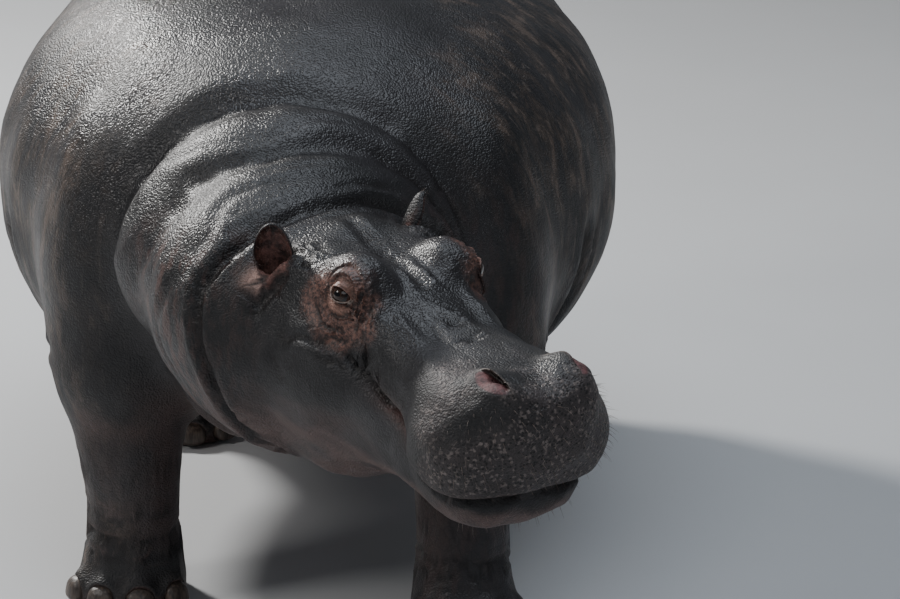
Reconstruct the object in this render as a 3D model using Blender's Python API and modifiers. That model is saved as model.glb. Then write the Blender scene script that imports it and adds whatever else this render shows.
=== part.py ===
"""A bull hippopotamus standing with its head low and turned to its left, at life size.

The flesh is modelled whole: lofted trunk, neck, head, jaw, legs and tail with rounded masses of
muscle and bone over them, fused into one skin and then parted with thin cuts into named pieces.
The animal faces -Y, its left side is +X, and it stands on the plane z = 0. Units are metres.
"""
import math

import bmesh
import bpy
import numpy as np
from mathutils import Matrix, Vector
from mathutils.bvhtree import BVHTree

# Driving dimensions. The tables below are drawn for a back 1.48 m high, then brought to STATURE.
STATURE = 1.38  # height of the back above the ground
BARREL_HALF_WIDTH = 0.765
BARREL_RISE = 0.56  # from the widest line along the flanks up to the back
BARREL_DROP = 0.625  # and down to the belly
HEAD_LENGTH = 0.86  # from the joint with the neck to the front of the muzzle
HEAD_YAW = math.radians(36)  # turned to the animal's left
HEAD_PITCH = math.radians(10)  # nose down
NECK_LENGTH = 0.34
NECK_START_Y = -0.72  # where the neck leaves the shoulders
HEAD_ORIGIN_Z = 0.927
EYE_RADIUS = 0.026
GAP = 0.0003  # clearance left by every thin cut

# Fineness of the solids
LOFT_SIDES = 48
VOXEL = 0.013
MASS_BLEND = (40, 0.10)  # rounds of easing, and the share of it where the surface is convex
FOLD_BLEND = (8, 0.8)
BODY_TRIANGLES = 2660
HEAD_CARE = 0.022  # how much dearer the thinning counts an edge on the head

COLOURS = {
    "hide": ((0.055, 0.052, 0.056), 0.42),
    "eye": ((0.030, 0.016, 0.010), 0.05),
    "nail": ((0.090, 0.070, 0.058), 0.45),
}


# ---------------------------------------------------------------- tools

def clear_scene():
    for obj in list(bpy.data.objects):
        bpy.data.objects.remove(obj, do_unlink=True)


def collection(name):
    made = bpy.data.collections.new(name)
    bpy.context.scene.collection.children.link(made)
    return made


def finish(obj, kind):
    """Gives the object a material of its own, in the colour of its kind of tissue."""
    colour, roughness = COLOURS[kind]
    made = bpy.data.materials.new(obj.name)
    made.use_nodes = True
    shader = made.node_tree.nodes["Principled BSDF"]
    shader.inputs["Base Color"].default_value = (*colour, 1)
    shader.inputs["Roughness"].default_value = roughness
    shader.inputs["Metallic"].default_value = 0.0
    obj.data.materials.clear()
    obj.data.materials.append(made)
    obj.data.shade_smooth()


def add_object(name, bm, home):
    mesh = bpy.data.meshes.new(name)
    bm.to_mesh(mesh)
    bm.free()
    obj = bpy.data.objects.new(name, mesh)
    home.objects.link(obj)
    return obj


def flow(rows, count):
    """Rows of station values, resampled to count rows on a smooth curve through them."""
    rows = np.array(rows, float)
    padded = np.vstack([2 * rows[0] - rows[1], rows, 2 * rows[-1] - rows[-2]])
    at = np.linspace(0, len(rows) - 1, count)
    step = np.minimum(at.astype(int), len(rows) - 2)
    t = (at - step)[:, None]
    a, b, c, d = (padded[step + k] for k in range(4))
    return 0.5 * (2 * b + (c - a) * t + (2 * a - 5 * b + 4 * c - d) * t**2
                  + (3 * b - a - 3 * c + d) * t**3)


def section(centre, side, up, half_width, rise, drop, squareness, sides=LOFT_SIDES):
    """One rounded cross-section: a superellipse with its own height above and below the centre."""
    ring = []
    for k in range(sides):
        angle = 2 * math.pi * k / sides
        c, s = math.cos(angle), math.sin(angle)
        across = half_width * math.copysign(abs(c) ** (2 / squareness), c)
        height = (rise if s > 0 else drop) * math.copysign(abs(s) ** (2 / squareness), s)
        ring.append(centre + side * across + up * height)
    return ring


def loft(bm, rings):
    """A closed skin through unlike sections, with a flat face over each end."""
    verts = [[bm.verts.new(point) for point in ring] for ring in rings]
    for lower, upper in zip(verts, verts[1:]):
        for k in range(len(lower)):
            bm.faces.new((lower[k - 1], lower[k], upper[k], upper[k - 1]))
    for ring, order in ((verts[0], -1), (verts[-1], 1)):
        bm.faces.new(ring[::order])


def ellipsoid(bm, centre, radii, frame=None, turn=0.0, sides=20):
    """A rounded mass. frame places it in the head's own axes; turn swings it about its up axis."""
    placed = (frame or Matrix.Identity(4)) @ Matrix.Translation(centre)
    placed = placed @ Matrix.Rotation(turn, 4, "Z") @ Matrix.Diagonal((*radii, 1))
    rows = sides * 2 // 3
    bmesh.ops.create_uvsphere(bm, u_segments=sides, v_segments=rows, radius=1, matrix=placed)


# ---------------------------------------------------------------- where things are

def neck_path(share):
    """Centre and heading of the neck's curve: share 0 leaves the shoulders, 1 reaches the head."""
    radius = NECK_LENGTH / HEAD_YAW
    turned = HEAD_YAW * share
    x = radius * (1 - math.cos(turned))
    y = NECK_START_Y - radius * math.sin(turned)
    return x, y, turned


def head_frame():
    """The head's axes: X to the nose, Y to its left, Z up, from its joint with the neck."""
    x, y, yaw = neck_path(1)
    forward = Matrix.Rotation(yaw - math.pi / 2, 4, "Z")
    return Matrix.Translation((x, y, HEAD_ORIGIN_Z)) @ forward @ Matrix.Rotation(HEAD_PITCH, 4, "Y")


HEAD = head_frame()


def on_head(from_nose, across, up):
    """A point given by its distance back from the nose, to the left and up, in the head's axes."""
    return Vector((HEAD_LENGTH - from_nose, across, up))


# ---------------------------------------------------------------- trunk and neck

# y, height of the widest line; shares of the barrel's half width, rise and drop; squareness
TRUNK = [
    (1.215, 1.000, 0.120, 0.180, 0.320, 2.00),
    (1.180, 0.985, 0.340, 0.410, 0.545, 2.05),
    (1.080, 0.955, 0.580, 0.685, 0.750, 2.10),
    (0.880, 0.930, 0.765, 0.865, 0.880, 2.15),
    (0.600, 0.920, 0.905, 0.965, 0.960, 2.20),
    (0.300, 0.920, 0.985, 1.000, 1.000, 2.20),
    (0.000, 0.920, 1.000, 0.990, 0.985, 2.20),
    (-0.260, 0.920, 0.940, 0.940, 0.910, 2.15),
    (-0.480, 0.925, 0.785, 0.850, 0.790, 2.10),
    (-0.640, 0.930, 0.620, 0.715, 0.680, 1.95),
]
# share of the neck, centre height, half width, rise, drop, squareness
NECK = [
    (0.00, 0.935, 0.430, 0.365, 0.385, 1.75),
    (0.25, 0.935, 0.400, 0.335, 0.385, 1.75),
    (0.50, 0.925, 0.375, 0.300, 0.385, 1.80),
    (0.75, 0.915, 0.370, 0.275, 0.385, 1.90),
    (1.00, 0.905, 0.335, 0.235, 0.370, 2.00),
    (1.25, 0.895, 0.260, 0.180, 0.300, 2.10),
]


def trunk_and_neck(bm):
    up = Vector((0, 0, 1))
    rings = []
    for y, z, width, rise, drop, square in flow(TRUNK, 44):
        ring = section(Vector((0, y, z)), Vector((1, 0, 0)), up, width * BARREL_HALF_WIDTH,
                       rise * BARREL_RISE, drop * BARREL_DROP, square)
        rings.append(ring)
    for share, z, width, rise, drop, square in flow(NECK, 24):
        x, y, turned = neck_path(share)
        side = Vector((math.cos(turned), math.sin(turned), 0))
        rings.append(section(Vector((x, y, z)), side, up, width, rise, drop, square))
    loft(bm, rings)


def trunk_masses(bm):
    """The shoulder, upper arm, haunch, thigh, belly and brisket that stand out from the barrel."""
    for side in (-1, 1):
        ellipsoid(bm, (side * 0.40, -0.46, 0.84), (0.215, 0.27, 0.42))  # shoulder
        ellipsoid(bm, (side * 0.40, -0.48, 0.62), (0.200, 0.235, 0.26))  # upper arm
        ellipsoid(bm, (side * 0.37, 0.82, 0.88), (0.240, 0.33, 0.42))  # haunch
        ellipsoid(bm, (side * 0.375, 0.83, 0.62), (0.225, 0.315, 0.30))  # thigh
    ellipsoid(bm, (0, 0.14, 0.71), (0.61, 0.78, 0.425))  # belly
    ellipsoid(bm, (0, -0.72, 0.78), (0.32, 0.22, 0.34))  # brisket


# ---------------------------------------------------------------- head

# distance from the nose, height of the widest line, half width, rise, drop, squareness
UPPER_HEAD = [
    (0.000, 0.040, 0.070, 0.045, 0.060, 2.2),
    (0.010, 0.040, 0.108, 0.075, 0.096, 2.3),
    (0.036, 0.042, 0.140, 0.096, 0.128, 2.4),
    (0.085, 0.038, 0.172, 0.105, 0.146, 2.5),
    (0.150, 0.032, 0.192, 0.104, 0.150, 2.6),
    (0.220, 0.032, 0.188, 0.100, 0.142, 2.5),
    (0.300, 0.035, 0.168, 0.097, 0.130, 2.3),
    (0.380, 0.035, 0.160, 0.106, 0.135, 2.2),
    (0.460, 0.030, 0.170, 0.132, 0.165, 2.1),
    (0.540, 0.015, 0.190, 0.162, 0.210, 2.1),
    (0.620, -0.010, 0.212, 0.190, 0.240, 2.1),
    (0.700, -0.030, 0.236, 0.210, 0.250, 2.1),
    (0.780, -0.045, 0.256, 0.226, 0.255, 2.1),
    (0.860, -0.050, 0.275, 0.232, 0.265, 2.1),
    (0.940, -0.050, 0.275, 0.210, 0.260, 2.1),
]
LOWER_JAW = [
    (0.040, -0.112, 0.070, 0.040, 0.030, 2.4),
    (0.055, -0.120, 0.118, 0.060, 0.055, 2.5),
    (0.100, -0.126, 0.156, 0.085, 0.084, 2.6),
    (0.180, -0.130, 0.168, 0.100, 0.096, 2.6),
    (0.280, -0.132, 0.154, 0.100, 0.096, 2.4),
    (0.380, -0.134, 0.150, 0.100, 0.104, 2.3),
    (0.480, -0.138, 0.168, 0.100, 0.128, 2.2),
    (0.580, -0.150, 0.186, 0.100, 0.152, 2.2),
    (0.680, -0.158, 0.198, 0.100, 0.162, 2.2),
    (0.800, -0.158, 0.204, 0.100, 0.160, 2.2),
]


def head_loft(bm, stations, count):
    side, up = Vector((0, 1, 0)), Vector((0, 0, 1))
    rings = []
    for back, z, width, rise, drop, square in flow(stations, count):
        ring = section(on_head(back, 0, z), -side, up, width, rise, drop, square)
        rings.append([HEAD @ point for point in ring])
    loft(bm, rings)


def head_masses(bm):
    """Pairs of rounded masses over the skull: (from nose, across, up), radii."""
    pairs = [
        ((0.165, 0.122, -0.030), (0.130, 0.102, 0.128)),  # upper lip over the tusk
        ((0.100, 0.090, 0.100), (0.082, 0.056, 0.058)),  # mound of the nostril
        ((0.580, 0.114, 0.130), (0.100, 0.078, 0.102)),  # orbit
        ((0.480, 0.100, 0.070), (0.120, 0.070, 0.078)),  # cheekbone in front of the eye
        ((0.660, 0.140, -0.060), (0.190, 0.106, 0.190)),  # cheek muscle
        ((0.720, 0.125, 0.095), (0.120, 0.090, 0.090)),  # temple
        ((0.450, 0.105, -0.050), (0.110, 0.080, 0.090)),  # fold at the corner of the mouth
        ((0.805, 0.155, 0.080), (0.056, 0.052, 0.066)),  # root of the ear
    ]
    for (back, across, up), radii in pairs:
        for side in (-1, 1):
            ellipsoid(bm, on_head(back, side * across, up), radii, HEAD)
    ellipsoid(bm, on_head(0.72, 0, -0.24), (0.21, 0.17, 0.12), HEAD)  # throat pouch
    ellipsoid(bm, on_head(0.790, 0, 0.100), (0.11, 0.13, 0.100), HEAD)  # crest of the poll


# ---------------------------------------------------------------- legs and tail

# x, back from the foot, z, half width, half depth of each section, top to sole
FORELEG = [
    (0.385, 0.08, 0.84, 0.150, 0.240),
    (0.400, 0.07, 0.68, 0.160, 0.235),
    (0.405, 0.06, 0.54, 0.162, 0.204),
    (0.402, 0.03, 0.42, 0.137, 0.164),
    (0.398, -0.005, 0.30, 0.117, 0.131),
    (0.396, -0.015, 0.19, 0.110, 0.119),
    (0.396, -0.020, 0.10, 0.120, 0.130),
    (0.398, -0.025, 0.04, 0.128, 0.142),
    (0.398, -0.025, -0.03, 0.128, 0.142),
]
HINDLEG = [
    (0.330, -0.03, 0.86, 0.195, 0.310),
    (0.365, -0.05, 0.70, 0.195, 0.300),
    (0.385, -0.03, 0.56, 0.180, 0.258),
    (0.385, 0.035, 0.44, 0.144, 0.190),
    (0.378, 0.085, 0.33, 0.115, 0.143),
    (0.372, 0.070, 0.22, 0.104, 0.117),
    (0.372, 0.040, 0.12, 0.111, 0.122),
    (0.374, 0.010, 0.04, 0.120, 0.136),
    (0.374, 0.010, -0.03, 0.120, 0.136),
]
# name: side (+1 is the animal's left), stations, y of the foot, forward swing of the foot
LEGS = {
    "foreleg_left": (1, FORELEG, -0.55, 0.10),
    "foreleg_right": (-1, FORELEG, -0.55, -0.06),
    "hindleg_left": (1, HINDLEG, 0.78, -0.08),
    "hindleg_right": (-1, HINDLEG, 0.78, 0.10),
}
LEG_TOP = 0.86
TOE_ANGLES = [math.radians(a) for a in (-56, -19, 19, 56)]
TOE_REACH = 0.105
TOE_RADII = (0.062, 0.046, 0.050)
TOE_HEIGHT = 0.044
ANKLE_HEIGHT = 0.185


def leg_centre(side, stations, y, swing, z):
    """Centre of the leg at a height; swing carries the foot forward under a fixed shoulder."""
    table = np.array(stations)[::-1]
    x = np.interp(z, table[:, 2], table[:, 0])
    back = np.interp(z, table[:, 2], table[:, 1])
    share = min(1, max(0, (LEG_TOP - z) / LEG_TOP))
    return Vector((side * x, y + back - swing * share, z))


def leg(bm, side, stations, y, swing):
    rings = []
    for x, _, z, width, depth in flow(stations, 26):
        centre = leg_centre(side, stations, y, swing, z)
        centre.x = side * x
        rings.append(section(centre, Vector((1, 0, 0)), Vector((0, 1, 0)), width, depth, depth, 2.2))
    loft(bm, rings)


def toe_frame(side, stations, y, swing, angle):
    """Axes of one toe: X points out along the toe, over the ground plane."""
    foot = leg_centre(side, stations, y, swing, TOE_HEIGHT)
    heading = angle - math.pi / 2 + side * math.radians(8)
    turned = Matrix.Rotation(heading, 4, "Z")
    return Matrix.Translation(foot) @ turned @ Matrix.Translation((TOE_REACH, 0, 0))


def toes(bm, leg_facts):
    for angle in TOE_ANGLES:
        ellipsoid(bm, (0, 0, 0), TOE_RADII, toe_frame(*leg_facts, angle))


# back from the rump, height, half width, half depth
TAIL = [
    (-0.060, 1.120, 0.100, 0.090),
    (0.030, 1.050, 0.080, 0.065),
    (0.075, 0.940, 0.060, 0.045),
    (0.090, 0.820, 0.047, 0.034),
    (0.092, 0.720, 0.037, 0.026),
    (0.088, 0.640, 0.027, 0.020),
    (0.086, 0.620, 0.012, 0.010),
]
RUMP_Y = 1.170


def tail(bm):
    rings = []
    for back, z, width, depth in flow(TAIL, 22):
        centre = Vector((0, RUMP_Y + back, z))
        rings.append(section(centre, Vector((1, 0, 0)), Vector((0, 1, 0)), width, depth, depth, 2.0))
    loft(bm, rings)


# ---------------------------------------------------------------- fusing the body

def evaluated_mesh(obj):
    graph = bpy.context.evaluated_depsgraph_get()
    return bpy.data.meshes.new_from_object(obj.evaluated_get(graph))


def settle(obj):
    """Replaces the object's mesh with what its modifiers make of it."""
    made = evaluated_mesh(obj)
    obj.modifiers.clear()
    old = obj.data
    obj.data = made
    bpy.data.meshes.remove(old)


def vertex_array(mesh):
    points = np.empty(len(mesh.vertices) * 3)
    mesh.vertices.foreach_get("co", points)
    return points.reshape(-1, 3)


def normal_array(mesh):
    normals = np.empty(len(mesh.vertices) * 3)
    mesh.vertex_normals.foreach_get("vector", normals)
    return normals.reshape(-1, 3)


def store(mesh, points):
    mesh.vertices.foreach_set("co", points.ravel())
    mesh.update()


def blend_masses(mesh, rounds, convex):
    """Fills the creases where masses meet. Each point eases to the mean of its neighbours: all the
    way where that lies outside the surface, and by the share convex where it lies inside."""
    ends = np.empty(len(mesh.edges) * 2, np.int32)
    mesh.edges.foreach_get("vertices", ends)
    ends = ends.reshape(-1, 2)
    here = np.concatenate([ends[:, 0], ends[:, 1]])
    there = np.concatenate([ends[:, 1], ends[:, 0]])
    count = np.bincount(here)[:, None]
    points = vertex_array(mesh)
    for _ in range(rounds):
        mean = np.stack([np.bincount(here, points[there, k]) for k in range(3)], 1) / count
        move = mean - points
        out = (move * normal_array(mesh)).sum(1)
        points = points + move * np.where(out > 0, 0.5, 0.5 * convex)[:, None]
        store(mesh, points)


def in_head_axes(points):
    inverse = np.array(HEAD.inverted())
    return points @ inverse[:3, :3].T + inverse[:3, 3]


def along_neck(points):
    """Share of the neck's path at each point: below 0 behind its start, over 1 on the head."""
    radius = NECK_LENGTH / HEAD_YAW
    aside = np.maximum(radius - points[:, 0], 0.12)
    ahead = NECK_START_Y - points[:, 1]
    return np.where(ahead > 0, np.arctan2(ahead, aside) / HEAD_YAW, ahead / NECK_LENGTH)


# The mouth's line in the head's side view: from nose, height. It runs up to its corner.
MOUTH_LINE = [(-0.02, -0.086), (0.06, -0.096), (0.14, -0.112), (0.22, -0.100), (0.30, -0.048),
              (0.37, 0.002)]
MOUTH_END = 0.375
MOUTH_GROOVE = (0.012, 0.014)  # depth, half width
# share of the neck, depth, half width in metres, lean of the crease with height
NECK_CREASES = [(0.02, 0.034, 0.040, -0.10), (0.47, 0.026, 0.032, 0.10)]


def mouth_height(from_nose):
    line = flow(MOUTH_LINE, 60)
    return np.interp(from_nose, line[:, 0], line[:, 1])


def bell(offset, width):
    return np.exp(-(offset / width) ** 2)


def carve_folds(mesh):
    """Presses in the mouth's line, the folds of the neck and the hollows of the face and flanks."""
    points, normals = vertex_array(mesh), normal_array(mesh)
    local = in_head_axes(points)
    back, across, up = HEAD_LENGTH - local[:, 0], local[:, 1], local[:, 2]
    push = np.zeros(len(points))
    # the line of the mouth
    depth, width = MOUTH_GROOVE
    near = (back < MOUTH_END + 0.03) & (up < 0.1)
    fade = np.clip((MOUTH_END + 0.01 - back) / 0.05, 0, 1)
    push += depth * fade * np.where(near, bell(up - mouth_height(back), width), 0)
    # a hollow down the middle of the face, and one between the orbits
    push += 0.012 * bell(back - 0.40, 0.11) * bell(across, 0.070) * (up > 0.05)
    push += 0.012 * bell(back - 0.60, 0.07) * bell(across, 0.045) * (up > 0.05)
    # the crease across the poll, behind the ears
    crease = bell(back - 0.865 - 0.10 * np.abs(across), 0.020)
    push += 0.022 * crease * np.clip((up - 0.02) / 0.1, 0, 1)
    # the folds round the neck
    share = along_neck(points)
    high = np.clip((points[:, 2] - 0.55) / 0.15, 0, 1) * (back > 0.80) * (points[:, 1] < -0.4)
    for place, depth, width, lean in NECK_CREASES:
        line = place + lean * (points[:, 2] - 1.0)
        push += depth * high * bell((share - line) * NECK_LENGTH, width)
    # behind the shoulder and in front of the haunch
    flank = np.clip((points[:, 2] - 0.45) / 0.2, 0, 1) * np.clip((1.35 - points[:, 2]) / 0.3, 0, 1)
    push += 0.014 * flank * bell(points[:, 1] + 0.20, 0.070)
    push += 0.016 * flank * bell(points[:, 1] - 0.48 + 0.2 * (points[:, 2] - 0.8), 0.080)
    store(mesh, points - normals * push[:, None])


def fused_body(home):
    bm = bmesh.new()
    trunk_and_neck(bm)
    trunk_masses(bm)
    head_loft(bm, UPPER_HEAD, 40)
    head_loft(bm, LOWER_JAW, 26)
    head_masses(bm)
    for facts in LEGS.values():
        leg(bm, *facts)
        toes(bm, facts)
    tail(bm)
    bmesh.ops.recalc_face_normals(bm, faces=bm.faces)
    body = add_object("body", bm, home)
    fuse = body.modifiers.new("fuse", "REMESH")
    fuse.mode = "VOXEL"
    fuse.voxel_size = VOXEL
    settle(body)
    blend_masses(body.data, *MASS_BLEND)
    carve_folds(body.data)
    blend_masses(body.data, *FOLD_BLEND)
    return body


# ---------------------------------------------------------------- thinning and parting

def thin_out(body):
    """Brings the fused body down to its budget of triangles, finest on the head."""
    head = in_head_axes(vertex_array(body.data))
    group = body.vertex_groups.new(name="coarse")
    for index, x in enumerate(head[:, 0]):
        group.add([index], float(np.clip((0.05 - x) / 0.25, 0.1, 1)), "REPLACE")
    body.data.calc_loop_triangles()
    thinner = body.modifiers.new("thinner", "DECIMATE")
    thinner.ratio = BODY_TRIANGLES / len(body.data.loop_triangles)
    thinner.vertex_group = group.name
    thinner.vertex_group_factor = HEAD_CARE
    thinner.use_collapse_triangulate = True
    settle(body)
    body.vertex_groups.clear()


def stand_on_floor(body):
    """Cuts the soles flat at z = 0."""
    bm = bmesh.new()
    bm.from_mesh(body.data)
    everything = bm.verts[:] + bm.edges[:] + bm.faces[:]
    made = bmesh.ops.bisect_plane(bm, geom=everything, dist=1e-6, plane_co=(0, 0, 0),
                                  plane_no=(0, 0, 1), clear_inner=True)
    rims = [item for item in made["geom_cut"] if isinstance(item, bmesh.types.BMEdge)]
    bmesh.ops.holes_fill(bm, edges=rims, sides=0)
    bmesh.ops.triangulate(bm, faces=bm.faces)
    bmesh.ops.recalc_face_normals(bm, faces=bm.faces)
    bm.to_mesh(body.data)
    bm.free()


def cutter(name, bm, home, wall=False):
    """A hidden cutting shape. wall turns its surface into a cut as thin as the clearance."""
    bmesh.ops.recalc_face_normals(bm, faces=bm.faces)
    made = add_object(name, bm, home)
    made.hide_render = True
    made.display_type = "WIRE"
    if wall:
        sheet = made.modifiers.new("wall", "SOLIDIFY")
        sheet.thickness = GAP
        sheet.offset = 0
    return made


def combine(obj, tool, operation="DIFFERENCE"):
    step = obj.modifiers.new("cut", "BOOLEAN")
    step.operation = operation
    step.object = tool
    settle(obj)


def islands(bm):
    """The separate bodies of a mesh, as lists of faces."""
    left = set(bm.faces)
    found = []
    while left:
        body, edge = [], [left.pop()]
        while edge:
            face = edge.pop()
            body.append(face)
            for link in face.edges:
                for other in link.link_faces:
                    if other in left:
                        left.remove(other)
                        edge.append(other)
        found.append(body)
    return found


def is_inside(region, faces):
    """Whether a body lies in the closed region, judged at its point farthest from the wall."""
    best = max((region.find_nearest(face.calc_center_median()) + (face,) for face in faces),
               key=lambda hit: hit[3])
    place, normal, _, _, face = best
    return (face.calc_center_median() - place).dot(normal) < 0


def part_off(obj, name, region, home, work):
    """Cuts what lies in the region away from obj, and returns it as a new object."""
    bmesh.ops.recalc_face_normals(region, faces=region.faces)
    tree = BVHTree.FromBMesh(region)
    combine(obj, cutter(name + "_cut", region, work, wall=True))
    bm = bmesh.new()
    bm.from_mesh(obj.data)
    bmesh.ops.dissolve_degenerate(bm, dist=1e-6, edges=bm.edges)
    bmesh.ops.triangulate(bm, faces=bm.faces)
    kept, taken = bm, bm.copy()
    for half, wanted in ((kept, False), (taken, True)):
        spare = [face for body in islands(half) if is_inside(tree, body) != wanted for face in body]
        bmesh.ops.delete(half, geom=spare, context="FACES")
    kept.to_mesh(obj.data)
    kept.free()
    return add_object(name, taken, home)


def block(near, far, frame=None):
    """A box between two opposite corners."""
    near, far = Vector(near), Vector(far)
    bm = bmesh.new()
    placed = (frame or Matrix.Identity(4)) @ Matrix.Translation((near + far) / 2)
    bmesh.ops.create_cube(bm, size=1, matrix=placed @ Matrix.Diagonal((*(far - near), 1)))
    return bm


NECK_CUT_LEAN = math.radians(7)  # the cut at the foot of the neck leans forward below
NECK_CUT_TOP = (0, -0.715, 1.30)
HEAD_CUT = 0.88  # distance of the cut behind the ears from the nose
TAIL_CUT_Y = 1.222
LEG_CUT_TOP = 0.57  # where the cut round a leg starts to close over it
LEG_CUT_DOME = 0.10
LEG_CUT_MARGIN = (0.090, 0.045)  # across and along the body
LEG_CUT_SIDES = 14


def neck_region():
    """Everything ahead of the crease at the foot of the neck."""
    frame = Matrix.Translation(NECK_CUT_TOP) @ Matrix.Rotation(-NECK_CUT_LEAN, 4, "X")
    return block((-0.7, -1.5, -0.84), (1.3, 0, 0.3), frame)


def head_region():
    return block((HEAD_LENGTH - HEAD_CUT, -0.6, -0.6), (HEAD_LENGTH + 0.2, 0.6, 0.6), HEAD)


def jaw_region():
    """A prism under the mouth's line, closed behind its corner down to the throat."""
    line = [(from_nose, up) for from_nose, up in flow([(-0.10, -0.080)] + MOUTH_LINE, 20)]
    line += [(MOUTH_END, -0.02), (0.405, -0.10), (0.43, -0.20), (0.44, -0.45), (-0.10, -0.45)]
    bm = bmesh.new()
    side = [bm.verts.new(HEAD @ on_head(from_nose, -0.4, up)) for from_nose, up in line]
    base = bm.faces.new(side)
    grown = bmesh.ops.extrude_face_region(bm, geom=[base], use_keep_orig=True)
    moved = [item for item in grown["geom"] if isinstance(item, bmesh.types.BMVert)]
    across = HEAD.to_3x3() @ Vector((0, 0.8, 0))
    bmesh.ops.translate(bm, verts=moved, vec=across)
    bmesh.ops.triangulate(bm, faces=bm.faces)
    return bm


def leg_region(side, stations, y, swing):
    """A sleeve round the leg that closes as a dome in the flank."""
    rings = []
    table = np.array(stations)[::-1]
    for z in (-0.05, ANKLE_HEIGHT, 0.40, LEG_CUT_TOP):
        width, depth = (np.interp(z, table[:, 2], table[:, k]) for k in (3, 4))
        spare = TOE_REACH if z <= ANKLE_HEIGHT else 0
        width += LEG_CUT_MARGIN[0] + spare
        depth += LEG_CUT_MARGIN[1] + spare
        centre = leg_centre(side, stations, y, swing, z)
        rings.append((centre, width, depth))
    centre, width, depth = rings[-1]
    for angle in (math.radians(a) for a in (40, 65, 85)):
        raised = centre + Vector((0, 0, LEG_CUT_DOME * math.sin(angle)))
        share = math.sqrt(math.cos(angle))
        rings.append((raised, width * share, depth * share))
    bm = bmesh.new()
    loft(bm, [section(c, Vector((1, 0, 0)), Vector((0, 1, 0)), w, d, d, 2.0, LEG_CUT_SIDES)
              for c, w, d in rings])
    return bm


def tail_region():
    return block((-0.16, TAIL_CUT_Y, 0.4), (0.16, TAIL_CUT_Y + 0.3, 1.16))


def part_the_body(body, home, work):
    """Cuts the fused body into its named pieces."""
    pieces = [body]
    neck = part_off(body, "neck", neck_region(), home, work)
    head = part_off(neck, "head", head_region(), home, work)
    pieces += [neck, head, part_off(head, "lower_jaw", jaw_region(), home, work)]
    pieces.append(part_off(body, "tail", tail_region(), home, work))
    for name, facts in LEGS.items():
        limb = part_off(body, name, leg_region(*facts), home, work)
        sole = block((-1, -2, -0.1), (1, 2, ANKLE_HEIGHT))
        foot_name = name.replace("leg", "foot")
        pieces += [limb, part_off(limb, foot_name, sole, home, work)]
    body.name = "trunk"
    return {piece.name: piece for piece in pieces}


# ---------------------------------------------------------------- eyes, ears, nostrils, nails

EYE_BEHIND = (0.600, 0.105, 0.125)  # a point behind the eye: from nose, across, up
EYE_GAZE = (0.50, 0.80, 0.32)  # ahead, outward, up
EYE_SIDES = 12
EYE_STANDS_OUT = 0.006  # of the orbit's skin
NOSTRIL_PLACE = (0.096, 0.097, 0.152)
NOSTRIL_RADII = (0.034, 0.012, 0.030)
NOSTRIL_TURN = math.radians(38)
# from nose, across, up of the root; lean outward; turn of the cup from straight ahead
EARS = {"ear_left": (1, 0.80, 0.162, 0.108, 12, 42), "ear_right": (-1, 0.80, 0.176, 0.098, 18, 42)}
EAR_OUTER = (0.031, 0.045, 0.070)
EAR_CUP = (0.031, 0.035, 0.057)
EAR_SIDES = 12
EAR_HEIGHT = 0.054  # of the cup's middle above the root


def eye_centre(side, head):
    """The middle of an eyeball that stands a little out of the orbit along its gaze."""
    back, across, up = EYE_BEHIND
    ahead, out, rise = EYE_GAZE
    start = HEAD @ on_head(back, side * across, up)
    gaze = (HEAD.to_3x3() @ Vector((ahead, side * out, rise))).normalized()
    place = head.ray_cast(start, gaze)[1]
    return place - gaze * (EYE_RADIUS - EYE_STANDS_OUT)


def eye(name, centre, head, home, work):
    """The eyeball, set in a socket of its own size."""
    bm, socket = bmesh.new(), bmesh.new()
    ellipsoid(bm, centre, (EYE_RADIUS,) * 3, sides=EYE_SIDES)
    ellipsoid(socket, centre, (EYE_RADIUS + 1.2 * GAP,) * 3, sides=EYE_SIDES)
    combine(head, cutter(name + "_socket", socket, work))
    return add_object(name, bm, home)


def ear_frame(side, back, across, up, lean, turn):
    """X out of the cup, Z along the ear."""
    placed = HEAD @ Matrix.Translation(on_head(back, side * across, up))
    placed = placed @ Matrix.Rotation(side * math.radians(-lean), 4, "X")
    return placed @ Matrix.Rotation(side * math.radians(turn), 4, "Z")


def ear_body(frame, margin=0.0):
    """The outer form of an ear: an egg whose lower end plugs into the head."""
    bm = bmesh.new()
    radii = [size + margin for size in EAR_OUTER]
    ellipsoid(bm, (0, 0, EAR_HEIGHT), radii, frame, sides=EAR_SIDES)
    return bm


def ear(name, facts, head, home, work):
    frame = ear_frame(*facts)
    made = add_object(name, ear_body(frame), home)
    cup = bmesh.new()
    ellipsoid(cup, (0.021, 0, EAR_HEIGHT + 0.005), EAR_CUP, frame, sides=EAR_SIDES)
    combine(made, cutter(name + "_cup", cup, work))
    combine(head, cutter(name + "_seat", ear_body(frame, 1.2 * GAP), work))
    return made


def nostrils(head, work):
    """Oblique slits on top of the muzzle, closer together in front."""
    back, across, up = NOSTRIL_PLACE
    for side in (-1, 1):
        dent = bmesh.new()
        ellipsoid(dent, on_head(back, side * across, up), NOSTRIL_RADII, HEAD,
                  side * -NOSTRIL_TURN, 10)
        combine(head, cutter("nostril_cut", dent, work))


NAIL_RADII = (0.024, 0.033, 0.029)
NAIL_REACH = 0.042  # from the middle of the toe
NAIL_DROP = 0.006
NAIL_SIDES = 8


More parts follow.
